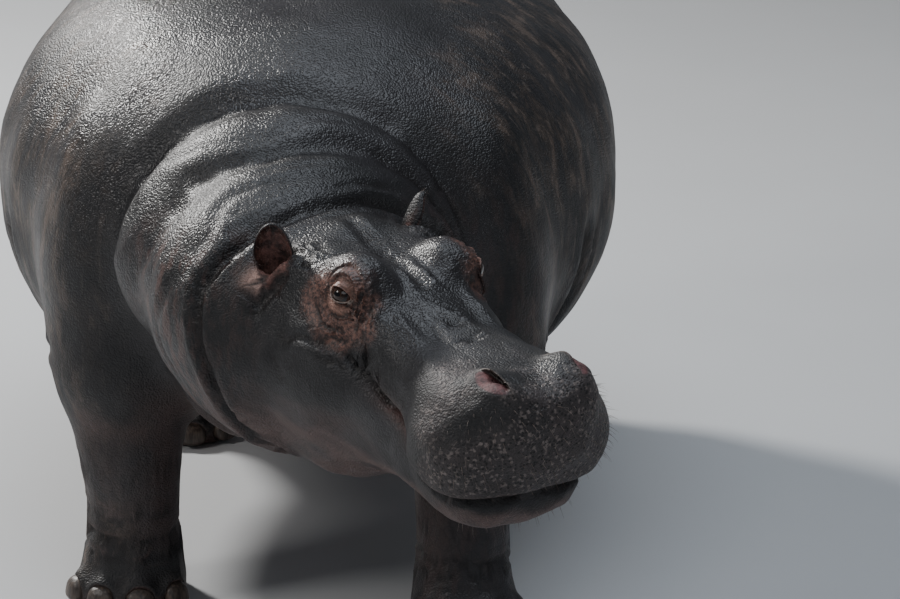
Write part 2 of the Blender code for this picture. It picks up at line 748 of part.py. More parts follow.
def nails(foot, leg_facts, home, work):
    """Four blunt nails, each seated in the end of its toe."""
    made = []
    for number, angle in enumerate(TOE_ANGLES, 1):
        frame = toe_frame(*leg_facts, angle)
        name = foot.name.replace("foot", "foot_nail_%d" % number)
        bm, seat = bmesh.new(), bmesh.new()
        ellipsoid(bm, (NAIL_REACH, 0, -NAIL_DROP), NAIL_RADII, frame, sides=NAIL_SIDES)
        grown = [size + 1.3 * GAP for size in NAIL_RADII]
        ellipsoid(seat, (NAIL_REACH, 0, -NAIL_DROP), grown, frame, sides=NAIL_SIDES)
        made.append(add_object(name, bm, home))
        combine(foot, cutter(name + "_seat", seat, work))
    return made


def bring_to_size(objects):
    """Scales the model to its stature, with the middle of its box's floor at the origin."""
    points = np.vstack([vertex_array(obj.data) for obj in objects])
    low, high = points.min(0), points.max(0)
    middle = (low + high) / 2
    placed = Matrix.Scale(STATURE / high[2], 4) @ Matrix.Translation((-middle[0], -middle[1], 0))
    for obj in objects:
        obj.data.transform(placed)


if __name__ == "__main__":
    clear_scene()
    work = collection("cutters")
    hippopotamus = collection("hippopotamus")
    whole = fused_body(hippopotamus)
    thin_out(whole)
    stand_on_floor(whole)
    flesh = part_the_body(whole, hippopotamus, work)
    nostrils(flesh["head"], work)
    for name, facts in EARS.items():
        flesh[name] = ear(name, facts, flesh["head"], hippopotamus, work)
    sights = {name: eye_centre(side, flesh["head"])
              for name, side in (("eye_left", 1), ("eye_right", -1))}
    eyes = [eye(name, centre, flesh["head"], hippopotamus, work)
            for name, centre in sights.items()]
    claws = []
    for name, facts in LEGS.items():
        foot = flesh[name.replace("leg", "foot")]
        claws += nails(foot, facts, hippopotamus, work)
    bring_to_size(list(flesh.values()) + eyes + claws)
    for group, kind in ((flesh.values(), "hide"), (eyes, "eye"), (claws, "nail")):
        for piece in group:
            finish(piece, kind)
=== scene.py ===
import math
import random

import bmesh
import bpy
import numpy as np
from mathutils import Matrix, Vector, noise
from mathutils.bvhtree import BVHTree


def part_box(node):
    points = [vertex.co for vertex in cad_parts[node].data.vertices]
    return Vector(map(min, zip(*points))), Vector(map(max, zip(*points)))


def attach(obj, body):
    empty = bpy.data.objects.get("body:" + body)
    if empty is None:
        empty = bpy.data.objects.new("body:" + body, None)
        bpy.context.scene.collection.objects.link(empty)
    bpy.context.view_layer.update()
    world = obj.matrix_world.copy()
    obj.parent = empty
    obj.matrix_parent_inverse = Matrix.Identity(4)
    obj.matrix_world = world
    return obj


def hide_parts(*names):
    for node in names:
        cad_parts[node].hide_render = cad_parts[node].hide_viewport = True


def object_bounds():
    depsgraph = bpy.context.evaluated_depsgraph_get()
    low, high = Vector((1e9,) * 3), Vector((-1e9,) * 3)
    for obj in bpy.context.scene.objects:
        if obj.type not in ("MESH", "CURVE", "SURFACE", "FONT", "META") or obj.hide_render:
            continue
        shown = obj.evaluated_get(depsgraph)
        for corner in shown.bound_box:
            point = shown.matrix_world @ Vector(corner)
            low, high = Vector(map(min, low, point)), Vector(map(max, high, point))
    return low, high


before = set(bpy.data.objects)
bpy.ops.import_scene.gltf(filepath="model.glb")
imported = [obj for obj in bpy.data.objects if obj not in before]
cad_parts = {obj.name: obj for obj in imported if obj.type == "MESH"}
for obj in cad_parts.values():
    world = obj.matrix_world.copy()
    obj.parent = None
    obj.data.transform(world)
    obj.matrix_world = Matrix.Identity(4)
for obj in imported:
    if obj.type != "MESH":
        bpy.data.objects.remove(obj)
cad_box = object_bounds()

# ---------------- how the head is carried
# The head hangs low from the shoulders and is turned to the animal's left. Its own axes start
# between the eyes: X to the nose, Y to its left, Z up. Every feature of the face is placed on them.

HEAD_PITCH = math.radians(10)  # nose down
NECK_FOOT = Vector((0.0, -0.441, 1.10))  # where the neck's curve leaves the shoulders
NECK_LENGTH = 0.317


def middle(node):
    low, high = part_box(node)
    return (low + high) / 2


eye_middles = {1: middle("eye_left"), -1: middle("eye_right")}
eye_line = eye_middles[1] - eye_middles[-1]
HEAD_YAW = math.atan2(eye_line.y, eye_line.x)
HEAD = (Matrix.Translation((eye_middles[1] + eye_middles[-1]) / 2)
        @ Matrix.Rotation(HEAD_YAW - math.pi / 2, 4, "Z") @ Matrix.Rotation(HEAD_PITCH, 4, "Y"))
HEAD_TURN = HEAD.to_3x3()


def in_head_axes(points):
    back = np.array(HEAD.inverted())
    return points @ back[:3, :3].T + back[:3, 3]


def bell(offset, width):
    return np.exp(-(offset / width) ** 2)


def ramp(value, low, high):
    """0 below low, 1 above high, and a smooth rise between them."""
    share = np.clip((value - low) / (high - low), 0, 1)
    return share * share * (3 - 2 * share)


# ---------------- the flesh under the hide
# A hippopotamus wears one nearly bare hide, thick and dense over fat, with no seam anywhere. The
# separate solids of the flesh are fused under it and eased into each other, then it is folded.

FEET = [(end, side) for end in ("fore", "hind") for side in ("left", "right")]
FLESH = ["trunk", "neck", "head", "lower_jaw", "tail"]
FLESH += [f"{end}{joint}_{side}" for end in ("fore", "hind") for joint in ("leg", "foot")
          for side in ("left", "right")]
HIDE_GRAIN = 0.0067  # spacing of the fused mesh
TRUNK_TRIANGLES = 82000  # kept where the mesh is thinned
BEHIND_HEAD, UNDER_JAW = -0.34, -0.27  # on the head's axes, where the thinning starts


def settle(obj):
    """Gives the object the mesh that its modifiers make."""
    shaped = bpy.data.meshes.new_from_object(
        obj.evaluated_get(bpy.context.evaluated_depsgraph_get()))
    obj.modifiers.clear()
    old = obj.data
    obj.data = shaped
    bpy.data.meshes.remove(old)


def new_object(name, bm):
    mesh = bpy.data.meshes.new(name)
    bm.to_mesh(mesh)
    bm.free()
    obj = bpy.data.objects.new(name, mesh)
    bpy.context.scene.collection.objects.link(obj)
    return obj


def vertex_array(mesh):
    points = np.empty(len(mesh.vertices) * 3)
    mesh.vertices.foreach_get("co", points)
    return points.reshape(-1, 3)


def normal_array(mesh):
    normals = np.empty(len(mesh.vertices) * 3)
    mesh.vertex_normals.foreach_get("vector", normals)
    return normals.reshape(-1, 3)


def place(mesh, points):
    mesh.vertices.foreach_set("co", points.ravel())
    mesh.update()


def ease(mesh, rounds, weight):
    """Draws each point towards the mean of its neighbours, by its own weight."""
    ends = np.empty(len(mesh.edges) * 2, np.int32)
    mesh.edges.foreach_get("vertices", ends)
    here = np.concatenate([ends[0::2], ends[1::2]])
    there = np.concatenate([ends[1::2], ends[0::2]])
    count = np.maximum(np.bincount(here, minlength=len(mesh.vertices)), 1)[:, None]
    points = vertex_array(mesh)
    pull = 0.5 * weight[:, None]
    for _ in range(rounds):
        mean = np.stack([np.bincount(here, points[there, k], len(points)) for k in range(3)], 1)
        points += pull * (mean / count - points)
    place(mesh, points)


def fuse_flesh():
    bm = bmesh.new()
    for name in FLESH + ["eye_left", "eye_right"]:
        bm.from_mesh(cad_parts[name].data)
    bmesh.ops.remove_doubles(bm, verts=bm.verts, dist=1e-5)
    fused = new_object("hide", bm)
    remesh = fused.modifiers.new("fuse", "REMESH")
    remesh.mode = "VOXEL"
    remesh.voxel_size = HIDE_GRAIN
    settle(fused)
    return fused


def ease_flesh(mesh):
    """Rounds off the facets of the solids: broadly on the trunk, less on the head and feet."""
    points = vertex_array(mesh)
    local = in_head_axes(points)
    broad, head, brow, leg, foot, tail = 0.036, 0.010, 0.020, 0.018, 0.009, 0.010
    reach = np.full(len(points), broad)
    tail_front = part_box("tail")[0].y
    orbit = bell(local[:, 0], 0.05) * bell(np.abs(local[:, 1]) - 0.130, 0.035) \
        * ramp(local[:, 2], 0.035, 0.055)
    for share, size in ((ramp(-points[:, 2], -0.50, -0.36), leg),
                        (ramp(-points[:, 2], -0.20, -0.14), foot),
                        (ramp(local[:, 0], -0.36, -0.22), head), (orbit, brow),
                        (ramp(points[:, 1], tail_front - 0.02, tail_front + 0.01), tail)):
        reach += share * (size - reach)
    ease(mesh, round(4 * (broad / HIDE_GRAIN) ** 2), (reach / broad) ** 2)


def thin_trunk(obj):
    """Thins the mesh behind the head and under the jaw, where the form is broad."""
    local = in_head_axes(vertex_array(obj.data))
    is_broad = (local[:, 0] < BEHIND_HEAD) | (local[:, 2] < UNDER_JAW)
    group = obj.vertex_groups.new(name="trunk")
    group.add([int(k) for k in np.flatnonzero(is_broad)], 1.0, "REPLACE")
    obj.data.calc_loop_triangles()
    total = len(obj.data.loop_triangles)
    trunk = total * float(is_broad.mean())
    thinner = obj.modifiers.new("thinner", "DECIMATE")
    thinner.ratio = min(1, (total - trunk + TRUNK_TRIANGLES) / total)
    thinner.vertex_group = "trunk"
    thinner.vertex_group_factor = 0.0
    settle(obj)
    obj.vertex_groups.clear()


hide = fuse_flesh()
ease_flesh(hide.data)
thin_trunk(hide)

# ---------------- the face
# Thick bare skin over bone and fat: heavy lids on raised orbits, a ridged bridge, nostrils that
# shut, and a mouth whose corner turns up over the cheek. The mesh is made finer at each of them.

NOSTRIL = Vector((0.430, 0.099, -0.010))  # the left one, on the head's axes
MOUTH_LINE = [(0.55, -0.232), (0.48, -0.243), (0.40, -0.256), (0.33, -0.245), (0.25, -0.200),
              (0.19, -0.168), (0.150, -0.150), (0.110, -0.128), (0.065, -0.116),
              (0.040, -0.098)]  # ahead of the eyes, height
MOUTH_CORNER = 0.150
MOUTH_BAND = 0.024  # the mesh is finer this far above and below the line


def refine(bm, is_near):
    """Splits each face near a feature in four."""
    edges = {edge for face in bm.faces if is_near(face.calc_center_median()) for edge in face.edges}
    bmesh.ops.subdivide_edges(bm, edges=list(edges), cuts=1, use_grid_fill=True)


def refine_face(mesh):
    bm = bmesh.new()
    bm.from_mesh(mesh)
    to_head = HEAD.inverted()
    line = np.array(MOUTH_LINE)
    eyes = list(eye_middles.values())
    nostrils = [HEAD @ Vector((NOSTRIL.x, side * NOSTRIL.y, NOSTRIL.z)) for side in (1, -1)]

    def near_mouth(point):
        local = to_head @ point
        height = np.interp(-local.x, -line[:, 0], line[:, 1])
        return 0.0 < local.x < 0.56 and abs(local.z - height) < MOUTH_BAND

    def near(centres, reach):
        return lambda point: min((point - centre).length for centre in centres) < reach

    refine(bm, near(eyes, 0.130))
    refine(bm, near(nostrils, 0.072))
    refine(bm, near_mouth)
    refine(bm, near(eyes, 0.050))
    refine(bm, near(nostrils, 0.054))
    refine(bm, near(eyes, 0.031))
    bm.to_mesh(mesh)
    bm.free()


def waver(points, size, seed):
    """A slow random waver over the hide, about -1 to 1."""
    shift = Vector((seed * 7.3, seed * 3.1, seed * 5.7))
    return np.array([noise.noise(Vector(p) / size + shift) for p in points]) * 1.6


def fold(offset, depth, width):
    """A crease with a soft lip on each side of it, by the distance from its line."""
    return depth * (1.25 * bell(offset, width) - 0.45 * bell(np.abs(offset) - 1.9 * width, width))


def from_line(places, line):
    """Each place's distance from a bent line, and how far along the line that is, 0 to 1."""
    line = np.array(line)
    runs = np.diff(line, axis=0)
    lengths = np.linalg.norm(runs, axis=1)
    stops = np.concatenate([[0], np.cumsum(lengths)]) / lengths.sum()
    gap = np.full(len(places), np.inf)
    along = np.zeros(len(places))
    for k, run in enumerate(runs):
        offset = places - line[k]
        share = np.clip(offset @ run / (run @ run), 0, 1)
        here = np.linalg.norm(offset - share[:, None] * run, axis=1)
        closer = here < gap
        gap = np.where(closer, here, gap)
        along = np.where(closer, stops[k] + share * (stops[k + 1] - stops[k]), along)
    return gap, along


def folded(places, line, depth, width):
    """A crease along a line, shallower towards both of its ends."""
    gap, along = from_line(places, line)
    return fold(gap, depth, width) * ramp(along, -0.02, 0.22) * ramp(1 - along, -0.02, 0.22)


def shape_face(mesh):
    points, normals = vertex_array(mesh), normal_array(mesh)
    local = in_head_axes(points)
    ahead, across, up = local.T
    wide = np.abs(across)
    stray = np.stack([waver(local, 0.045, 3), waver(local, 0.045, 4)], 1) * 0.005
    from_side = local[:, [0, 2]] + stray
    from_above = np.stack([ahead, wide], 1) + stray
    is_side = ramp(wide, 0.075, 0.115) * ramp(ahead, -0.36, -0.30)
    is_top = ramp(up, -0.09, -0.04) * ramp(ahead, -0.33, -0.29)
    sunk = np.zeros(len(points))

    # the lips: the upper overhangs the line of the mouth, whose corner is drawn up and back
    line = np.array(MOUTH_LINE)
    gap, along = from_line(local[:, [0, 2]], MOUTH_LINE)
    above = np.sign(up - np.interp(-ahead, -line[:, 0], line[:, 1]))
    lips = is_side + (1 - is_side) * ramp(ahead, 0.30, 0.36) * ramp(-up, 0.12, 0.16)
    shut = ramp(1 - along, 0.0, 0.05)
    sunk += lips * shut * 0.017 * bell(gap, 0.0075)
    sunk -= lips * shut * 0.006 * bell(gap * above - 0.024, 0.014)
    at_corner = bell(np.hypot(ahead - MOUTH_CORNER, up + 0.150), 0.045) * is_side
    sunk += at_corner * 0.010 * bell(gap, 0.016)
    sunk -= is_side * 0.010 * bell(np.hypot(ahead - 0.060, up + 0.178), 0.055)  # the cheek below it

    # creases of the cheek and below the eye, then those that run from the ear to the brow
    for line, depth, width in (
            ([(0.040, -0.098), (-0.01, -0.100), (-0.07, -0.115), (-0.13, -0.145)], 0.007, 0.010),
            ([(-0.06, -0.030), (-0.04, -0.058), (0.0, -0.072), (0.04, -0.062)], 0.0045, 0.0055),
            ([(-0.05, -0.060), (-0.02, -0.086), (0.03, -0.088), (0.07, -0.070)], 0.0040, 0.0060),
            ([(0.062, 0.020), (0.070, -0.015), (0.062, -0.045)], 0.0045, 0.0065),
            ([(0.035, -0.030), (0.052, -0.050), (0.085, -0.060)], 0.0035, 0.0050),
            ([(-0.03, -0.125), (0.02, -0.128), (0.07, -0.135)], 0.0035, 0.0060),
            ([(-0.160, -0.010), (-0.178, -0.040), (-0.185, -0.085), (-0.188, -0.130)], 0.013, 0.010),
            ([(-0.205, -0.020), (-0.215, -0.075), (-0.210, -0.130)], 0.005, 0.008),
            ([(-0.150, -0.150), (-0.120, -0.190), (-0.060, -0.215)], 0.005, 0.012)):
        sunk += is_side * folded(from_side, line, depth, width)
    for line, depth, width in (
            ([(-0.205, 0.146), (-0.165, 0.150), (-0.120, 0.146)], 0.0070, 0.0045),
            ([(-0.215, 0.130), (-0.170, 0.136), (-0.115, 0.132)], 0.0065, 0.0042),
            ([(-0.222, 0.114), (-0.180, 0.118), (-0.130, 0.114)], 0.0055, 0.0042),
            ([(-0.190, 0.164), (-0.150, 0.166), (-0.110, 0.160)], 0.0065, 0.0050),
            ([(-0.235, 0.098), (-0.200, 0.100), (-0.160, 0.096)], 0.0028, 0.0045)):
        sunk += is_top * folded(from_above, line, depth, width)

    # the crown: a furrow down the middle between the two bulging muscles of the jaw
    sunk += is_top * folded(np.stack([ahead, across], 1) + stray,
                            [(-0.25, 0.006), (-0.18, 0.000), (-0.11, -0.006), (-0.04, 0.0)],
                            0.007, 0.013)
    sunk -= is_top * 0.006 * bell(ahead + 0.17, 0.065) * bell(wide - 0.070, 0.045)
    # the bridge: two ridges with a trough between them, and a hollow outside each
    bridge = is_top * ramp(ahead, -0.08, 0.02) * ramp(-ahead, -0.38, -0.22)
    ridge_line = 0.024 + 0.10 * np.clip(ahead - 0.02, 0, 1) ** 1.5 + stray[:, 0]
    sunk -= bridge * 0.0090 * bell(wide - ridge_line, 0.010)
    sunk += bridge * 0.0052 * bell(across, 0.016)
    sunk += is_top * 0.0100 * bell(ahead - 0.150, 0.070) * bell(wide - 0.064, 0.022)
    sunk -= is_top * 0.0045 * bell(ahead - 0.130, 0.060) * bell(wide - 0.094, 0.012)
    # wrinkles over the temple, from the crown down in front of the ear
    temple = bell(ahead + 0.128, 0.032) * bell(wide - 0.124, 0.034) * ramp(up, -0.04, -0.01)
    sunk += temple * 0.0022 * np.cos(2 * math.pi * (ahead + 0.3 * wide + 1.5 * stray[:, 0]) / 0.0125)
    # the inner wall of each orbit drops steeply to the bridge
    sunk += is_top * 0.012 * bell(ahead - 0.060, 0.040) * bell(wide - 0.100, 0.022)
    # mounds of the nostrils over the flat of the muzzle, and the dip between them
    sunk -= is_top * 0.012 * bell(ahead - NOSTRIL.x, 0.065) * bell(wide - 0.084, 0.034)
    sunk += is_top * 0.010 * bell(ahead - 0.46, 0.065) * bell(across, 0.026)
    sunk += is_top * 0.004 * bell(ahead - 0.34, 0.030) * bell(wide - 0.070, 0.050)
    # the muzzle swells over the roots of the tusks
    sunk -= 0.010 * bell(ahead - 0.43, 0.070) * bell(up + 0.150, 0.060) * ramp(wide, 0.08, 0.16)
    # slow unevenness of the fat, and finer lumps
    on_head = ramp(ahead, -0.30, -0.24)
    sunk -= on_head * (0.0015 * waver(local, 0.055, 5) + 0.0005 * waver(local, 0.018, 6))
    place(mesh, points - normals * sunk[:, None])


EYE_RADIUS = (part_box("eye_left")[1].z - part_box("eye_left")[0].z) / 2
LID_THICK = 0.0032
EYE_SLIT = (0.0228, 0.0122)  # half the length and half the height of the opening
LID_RINGS = (  # radius, depth, width, and 1 over the eye or 0 under it
    (0.0275, 0.0016, 0.0018, 1), (0.0335, 0.0046, 0.0024, 1), (0.0435, 0.0062, 0.0032, 0),
    (0.0500, 0.0050, 0.0034, 1), (0.0560, 0.0034, 0.0034, 0), (0.0610, 0.0034, 0.0036, 1),
    (0.0690, 0.0020, 0.0034, 0), (0.0720, 0.0034, 0.0040, 1), (0.0840, 0.0024, 0.0044, 1))


def eye_axes(side):
    """Gaze, the slit's direction towards the nose, and up across the lids."""
    gaze = (HEAD_TURN @ Vector((0.30, side * 0.88, 0.34))).normalized()
    slit = HEAD_TURN @ Vector((1, 0, 0.0))
    slit = (slit - gaze * slit.dot(gaze)).normalized()
    lift = gaze.cross(slit)
    return gaze, slit, -lift if lift.z < 0 else lift


def slit_reach(along, rise):
    """0 in the middle of the opening between the lids and 1 at its edge."""
    return np.sqrt((along / EYE_SLIT[0]) ** 2 + (rise / EYE_SLIT[1]) ** 2)


def set_lids(mesh):
    """Draws the hide over each eyeball as two thick lids, with folds in rings round them."""
    points = vertex_array(mesh)
    for side, centre in eye_middles.items():
        axes = np.array([list(axis) for axis in eye_axes(side)])
        offset = (points - np.array(centre)) @ axes.T
        out, along, rise = offset.T
        spread = np.hypot(along, rise)
        near = np.flatnonzero((spread < 0.100) & (out > -0.045) & (out < 0.07))
        out, along, rise, spread = out[near], along[near], rise[near], spread[near]
        opening = slit_reach(along, rise)
        ball = np.sqrt(np.clip(EYE_RADIUS ** 2 - spread ** 2, 0, None))
        lid_radius = EYE_RADIUS + LID_THICK + 0.0014 * ramp(rise, 0, 0.012)
        lid = np.sqrt(np.clip(lid_radius ** 2 - spread ** 2, 1e-6, None))
        over = 1 - ramp(spread, 0.80 * EYE_RADIUS, 1.45 * EYE_RADIUS)
        height = out + over * (np.maximum(lid, 0.35 * EYE_RADIUS) - out)
        angle = np.arctan2(rise, along)
        ring_of = spread * (1 + 0.10 * np.cos(2 * angle)) + 0.0014 * np.sin(3 * angle + side)
        is_upper = ramp(rise, -0.010, 0.012)
        for radius, depth, width, upper in LID_RINGS:
            strength = 0.80 + 0.20 * np.sin(angle * 3 + radius * 400)
            strength = strength * (is_upper if upper else 1 - is_upper)
            height -= depth * strength * bell(ring_of - radius, width)
            height += 0.45 * depth * strength * bell(ring_of - radius - 2.1 * width, 1.6 * width)
        # the pad of the lower lid, the roll of the upper, and fine wrinkles across the rings
        height += 0.0085 * bell(rise + 0.0290, 0.0090) * bell(along, 0.025)
        height += 0.0050 * bell(rise - 0.0215, 0.0060) * bell(along, 0.026)
        height += 0.0040 * bell(spread - 0.0415, 0.0050) * ramp(rise, 0.004, 0.020)
        height += 0.0008 * np.sin(34 * angle + 300 * spread) * ramp(spread, 0.024, 0.034)
        height += 0.0018 * bell(opening - 1.20, 0.14)
        height -= 0.0030 * bell(opening - 1.60, 0.10) * ramp(-rise, -0.004, 0.006)
        # upright wrinkles between the eye and the bridge
        to_nose = ramp(along, 0.026, 0.036) * ramp(-spread, -0.074, -0.066)
        height -= 0.0024 * to_nose * np.cos(2 * math.pi * (along + 0.15 * rise) / 0.0115)
        inside = 1 - ramp(opening, 0.88, 1.06)
        height += inside * (np.minimum(ball - 0.0045, height) - height)
        offset[near, 0] = height
        points[near] = np.array(centre) + offset[near] @ axes
    place(mesh, points)


NOSTRIL_LONG, NOSTRIL_WIDE = 0.052, 0.0205  # half lengths of the slit
NOSTRIL_BOW = 2.6  # how fast it curves away from the middle of the nose


def nostril_axes(tree, side):
    """Out of the muzzle, along the slit to the nose, and across it away from the middle."""
    start = HEAD @ Vector((NOSTRIL.x, side * NOSTRIL.y, 0.2))
    centre = tree.ray_cast(start, HEAD_TURN @ Vector((0, 0, -1)))[0]
    out = (HEAD_TURN @ Vector((0.22, side * 0.60, 0.77))).normalized()
    long = HEAD_TURN @ Vector((0.98, side * -0.08, -0.10))
    long = (long - out * long.dot(out)).normalized()
    wide = out.cross(long)
    if wide.dot(HEAD_TURN @ Vector((0, side, 0))) < 0:
        wide = -wide
    return centre, np.array([list(out), list(long), list(wide)])


def nostril_reach(along, across):
    """0 in the middle of the slit and 1 at its edge, and the distance from its bowed line."""
    bowed = across + NOSTRIL_BOW * along ** 2 - 0.002
    return np.sqrt((along / NOSTRIL_LONG) ** 2 + (bowed / NOSTRIL_WIDE) ** 2), bowed


def surface_tree(mesh):
    return BVHTree.FromPolygons([v.co for v in mesh.vertices], [p.vertices for p in mesh.polygons])


def open_nostrils(mesh):
    """Long slits on top of the muzzle, each with a heavy inner rim that shuts down over it."""
    points = vertex_array(mesh)
    tree = surface_tree(mesh)
    for side in (1, -1):
        centre, axes = nostril_axes(tree, side)
        offset = (points - np.array(centre)) @ axes.T
        height, along, across = offset.T
        near = (np.abs(height) < 0.05) & (np.hypot(along, across) < 0.095)
        reach, bowed = nostril_reach(along, across)
        inner = ramp(-bowed, -0.012, 0.014)  # 1 at the rim beside the middle of the nose
        hole = (1 - ramp(reach, 0.50, 1.04)) * near
        rim = bell(reach - 1.24, 0.22) * near
        offset[:, 0] += rim * (0.0010 + 0.0056 * inner) - hole * (0.006 + 0.020 * inner)
        offset[:, 2] += rim * inner * 0.0040 - hole * 0.011
        crease = bell(reach - 1.85, 0.18) * near * inner
        offset[:, 0] -= 0.0036 * crease
        points = np.array(centre) + offset @ axes
    place(mesh, points)


def round_brows(mesh):
    """Eases the bony top of each orbit, which the solids leave pointed."""
    ahead, across, up = in_head_axes(vertex_array(mesh)).T
    brow = bell(np.hypot(ahead + 0.040, np.abs(across) - 0.115), 0.034) * ramp(up, 0.020, 0.045)
    ease(mesh, 50, np.clip(brow * 1.3, 0, 1))


refine_face(hide.data)
round_brows(hide.data)
shape_face(hide.data)
set_lids(hide.data)
open_nostrils(hide.data)

# ---------------- folds of the neck and body
# The hide is too thick to stretch, so it buckles: two deep creases round the neck with a roll
# between them, finer ones behind the ears, and slack folds at the elbows, flanks and ankles.


NECK_FOLDS = (  # share of the way along the neck, lean with height, depth, width, waver
    (0.44, 0.45, 0.0075, 0.027, 0.06), (0.22, 0.12, 0.0016, 0.012, 0.14),
    (0.62, 0.35, 0.0022, 0.013, 0.16), (0.80, 0.20, 0.0034, 0.010, 0.12))
LEG_FOLDS = {  # behind the middle of the leg and up from the floor, then depth and width
    "fore": (([(0.19, 0.46), (0.22, 0.62), (0.19, 0.84)], 0.012, 0.020),
             ([(0.28, 0.50), (0.30, 0.66), (0.28, 0.80)], 0.006, 0.016),
             ([(-0.12, 0.60), (-0.02, 0.56), (0.12, 0.58)], 0.006, 0.014)),
    "hind": (([(-0.17, 0.44), (-0.22, 0.60), (-0.17, 0.86)], 0.013, 0.022),
             ([(-0.26, 0.46), (-0.31, 0.62), (-0.28, 0.80)], 0.007, 0.018),
             ([(-0.10, 0.58), (0.02, 0.54), (0.14, 0.56)], 0.006, 0.014))}
ANKLE_FOLDS = ((0.135, 0.006, 0.007), (0.170, 0.005, 0.008),  # height, depth, width
               (0.225, 0.003, 0.009), (0.330, 0.003, 0.012))


def neck_share(points):
    """How far along the neck's curve each point lies: 0 at the shoulders, 1 at the head."""
    radius = NECK_LENGTH / HEAD_YAW
    aside = np.maximum(radius - points[:, 0], 0.1)
    ahead = NECK_FOOT.y - points[:, 1]
    return np.where(ahead > 0, np.arctan2(ahead, aside) / HEAD_YAW, ahead / NECK_LENGTH)


def fold_neck(mesh):
    points, normals = vertex_array(mesh), normal_array(mesh)
    ahead, across, up = in_head_axes(points).T
    high = points[:, 2] - 1.0
    share = neck_share(points)
    loose, fine = waver(points, 0.16, 1), waver(points, 0.05, 2)
    behind_head = ramp(-ahead, 0.27, 0.32)
    sunk = np.zeros(len(points))
    # the crease at the shoulders swings forward on the inside of the bend
    at_shoulder = (share - 0.02 + 0.30 * high - 0.04 * loose) * NECK_LENGTH
    sunk += fold(at_shoulder, 0.0075 * (1 + 0.4 * fine), 0.026)
    for start, lean, depth, width, stray in NECK_FOLDS:
        offset = (share - start - lean * high - stray * loose) * NECK_LENGTH
        sunk += fold(offset, depth * (1 + 0.4 * fine), width) * behind_head
    # the ring behind the ears and down behind the jaw
    wide = np.abs(across)
    ring = ahead + 0.298 + 0.02 * wide - 0.30 * np.clip(-up - 0.1, 0, 1)
    sunk += fold(ring + 0.006 * loose, 0.015 * (1 + 0.3 * fine), 0.012)
    on_nape = ramp(up, -0.04, 0.02)
    sunk += fold(ring - 0.042 + 0.010 * fine, 0.006, 0.008) * on_nape * ramp(across, -0.06, 0.0)
    sunk += fold(ring + 0.035 + 0.008 * loose, 0.005, 0.007) * on_nape
    reach = ramp(points[:, 2], 0.45, 0.60)
    place(mesh, points - normals * (sunk * reach)[:, None])
    ease(mesh, 4, bell(ahead + 0.29, 0.06) * on_nape)


def fold_body(mesh):
    points, normals = vertex_array(mesh), normal_array(mesh)
    loose, fine = waver(points, 0.20, 7), waver(points, 0.06, 8)
    x, y, high = points.T
    sunk = np.zeros(len(points))
    stray = np.stack([loose, fine], 1) * np.array([0.012, 0.006])
    from_side = points[:, 1:] + stray
    flank = ramp(np.abs(x), 0.30, 0.45)
    for end, side in FEET:
        leg = middle(f"{end}leg_{side}")
        foot = middle(f"{end}foot_{side}")
        mine = np.sign(x) == (1 if side == "left" else -1)
        for line, depth, width in LEG_FOLDS[end]:
            line = [(leg.y + back, height) for back, height in line]
            sunk += mine * flank * folded(from_side, line, depth, width)
        near = bell(np.hypot(x - foot.x, y - foot.y), 0.22)
        for ring, depth, width in ANKLE_FOLDS:
            lean = 0.10 * (y - foot.y) + 0.010 * fine
            sunk += mine * near * fold(high - ring - lean, depth, width)
    # the brisket and the slack of the belly
    lower = ramp(-high, -0.62, -0.48) * ramp(high, 0.34, 0.42)
    sunk += lower * 0.004 * np.sin(y * 60 + 4 * loose) * bell(x, 0.30) * ramp(-y, 0.30, 0.45)
    sunk -= ramp(high, 0.30, 0.5) * (0.0055 * loose + 0.0008 * fine)
    place(mesh, points - normals * sunk[:, None])


def toe_way(foot, nail):
    """Level, from the middle of the foot out through one of its nails."""
    return Vector((nail.x - foot.x, nail.y - foot.y, 0)).normalized()


def swell_toes(mesh):
    """Each toe rises round its nail as a thick cuticle, with a furrow between it and the next."""
    points = vertex_array(mesh)
    for end, side in FEET:
        foot = middle(f"{end}foot_{side}")
        for number in (1, 2, 3, 4):
            nail = middle(f"{end}foot_nail_{number}_{side}")
            out = toe_way(foot, nail)
            offset = points - np.array(nail)
            ahead = offset @ np.array(out)
            aside = offset @ np.array((-out.y, out.x, 0))
            ring = np.hypot(aside / 0.033, (offset[:, 2] + 0.004) / 0.033)
            near = ramp(ahead, -0.045, -0.015) * (ahead < 0.05)
            lift = 0.0085 * bell(ring - 1.18, 0.26) * ramp(points[:, 2], 0.004, 0.020)
            furrow = 0.0050 * bell(np.abs(aside) - 0.047, 0.006) * ramp(-points[:, 2], -0.10, -0.06)
            points += ((lift - furrow) * near)[:, None] * np.array(out)
    points[:, 2] = np.maximum(points[:, 2], 0.0002)  # the soles press flat on the floor
    place(mesh, points)


fold_neck(hide.data)
fold_body(hide.data)
swell_toes(hide.data)

# ---------------- the ears
# Small round cups of gristle under thin hide, with a rolled rim and folds down inside. They stand
# on the back of the skull and are one with the hide, so they are joined to it and eased in.

EARS = {1: (20, 46), -1: (12, 40)}  # lean outwards, turn outwards, in degrees
EAR_WIDE, EAR_TALL, EAR_DEEP = 0.0405, 0.066, 0.021
EAR_RIM = 0.0042  # half the thickness of the rim


def ear_axes(side):
    """A frame with X out of the cup, Y across it and Z along the ear."""
    lean, turn = EARS[side]
    low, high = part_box("ear_left" if side > 0 else "ear_right")
    placed = Matrix.Translation((low + high) / 2) @ HEAD_TURN.to_4x4()
    placed = placed @ Matrix.Rotation(side * math.radians(-lean), 4, "X")
    return placed @ Matrix.Rotation(side * math.radians(turn), 4, "Z")


def in_ear_axes(points, side):
    axes = ear_axes(side)
    return (points - np.array(axes.translation)) @ np.array(axes.to_3x3())


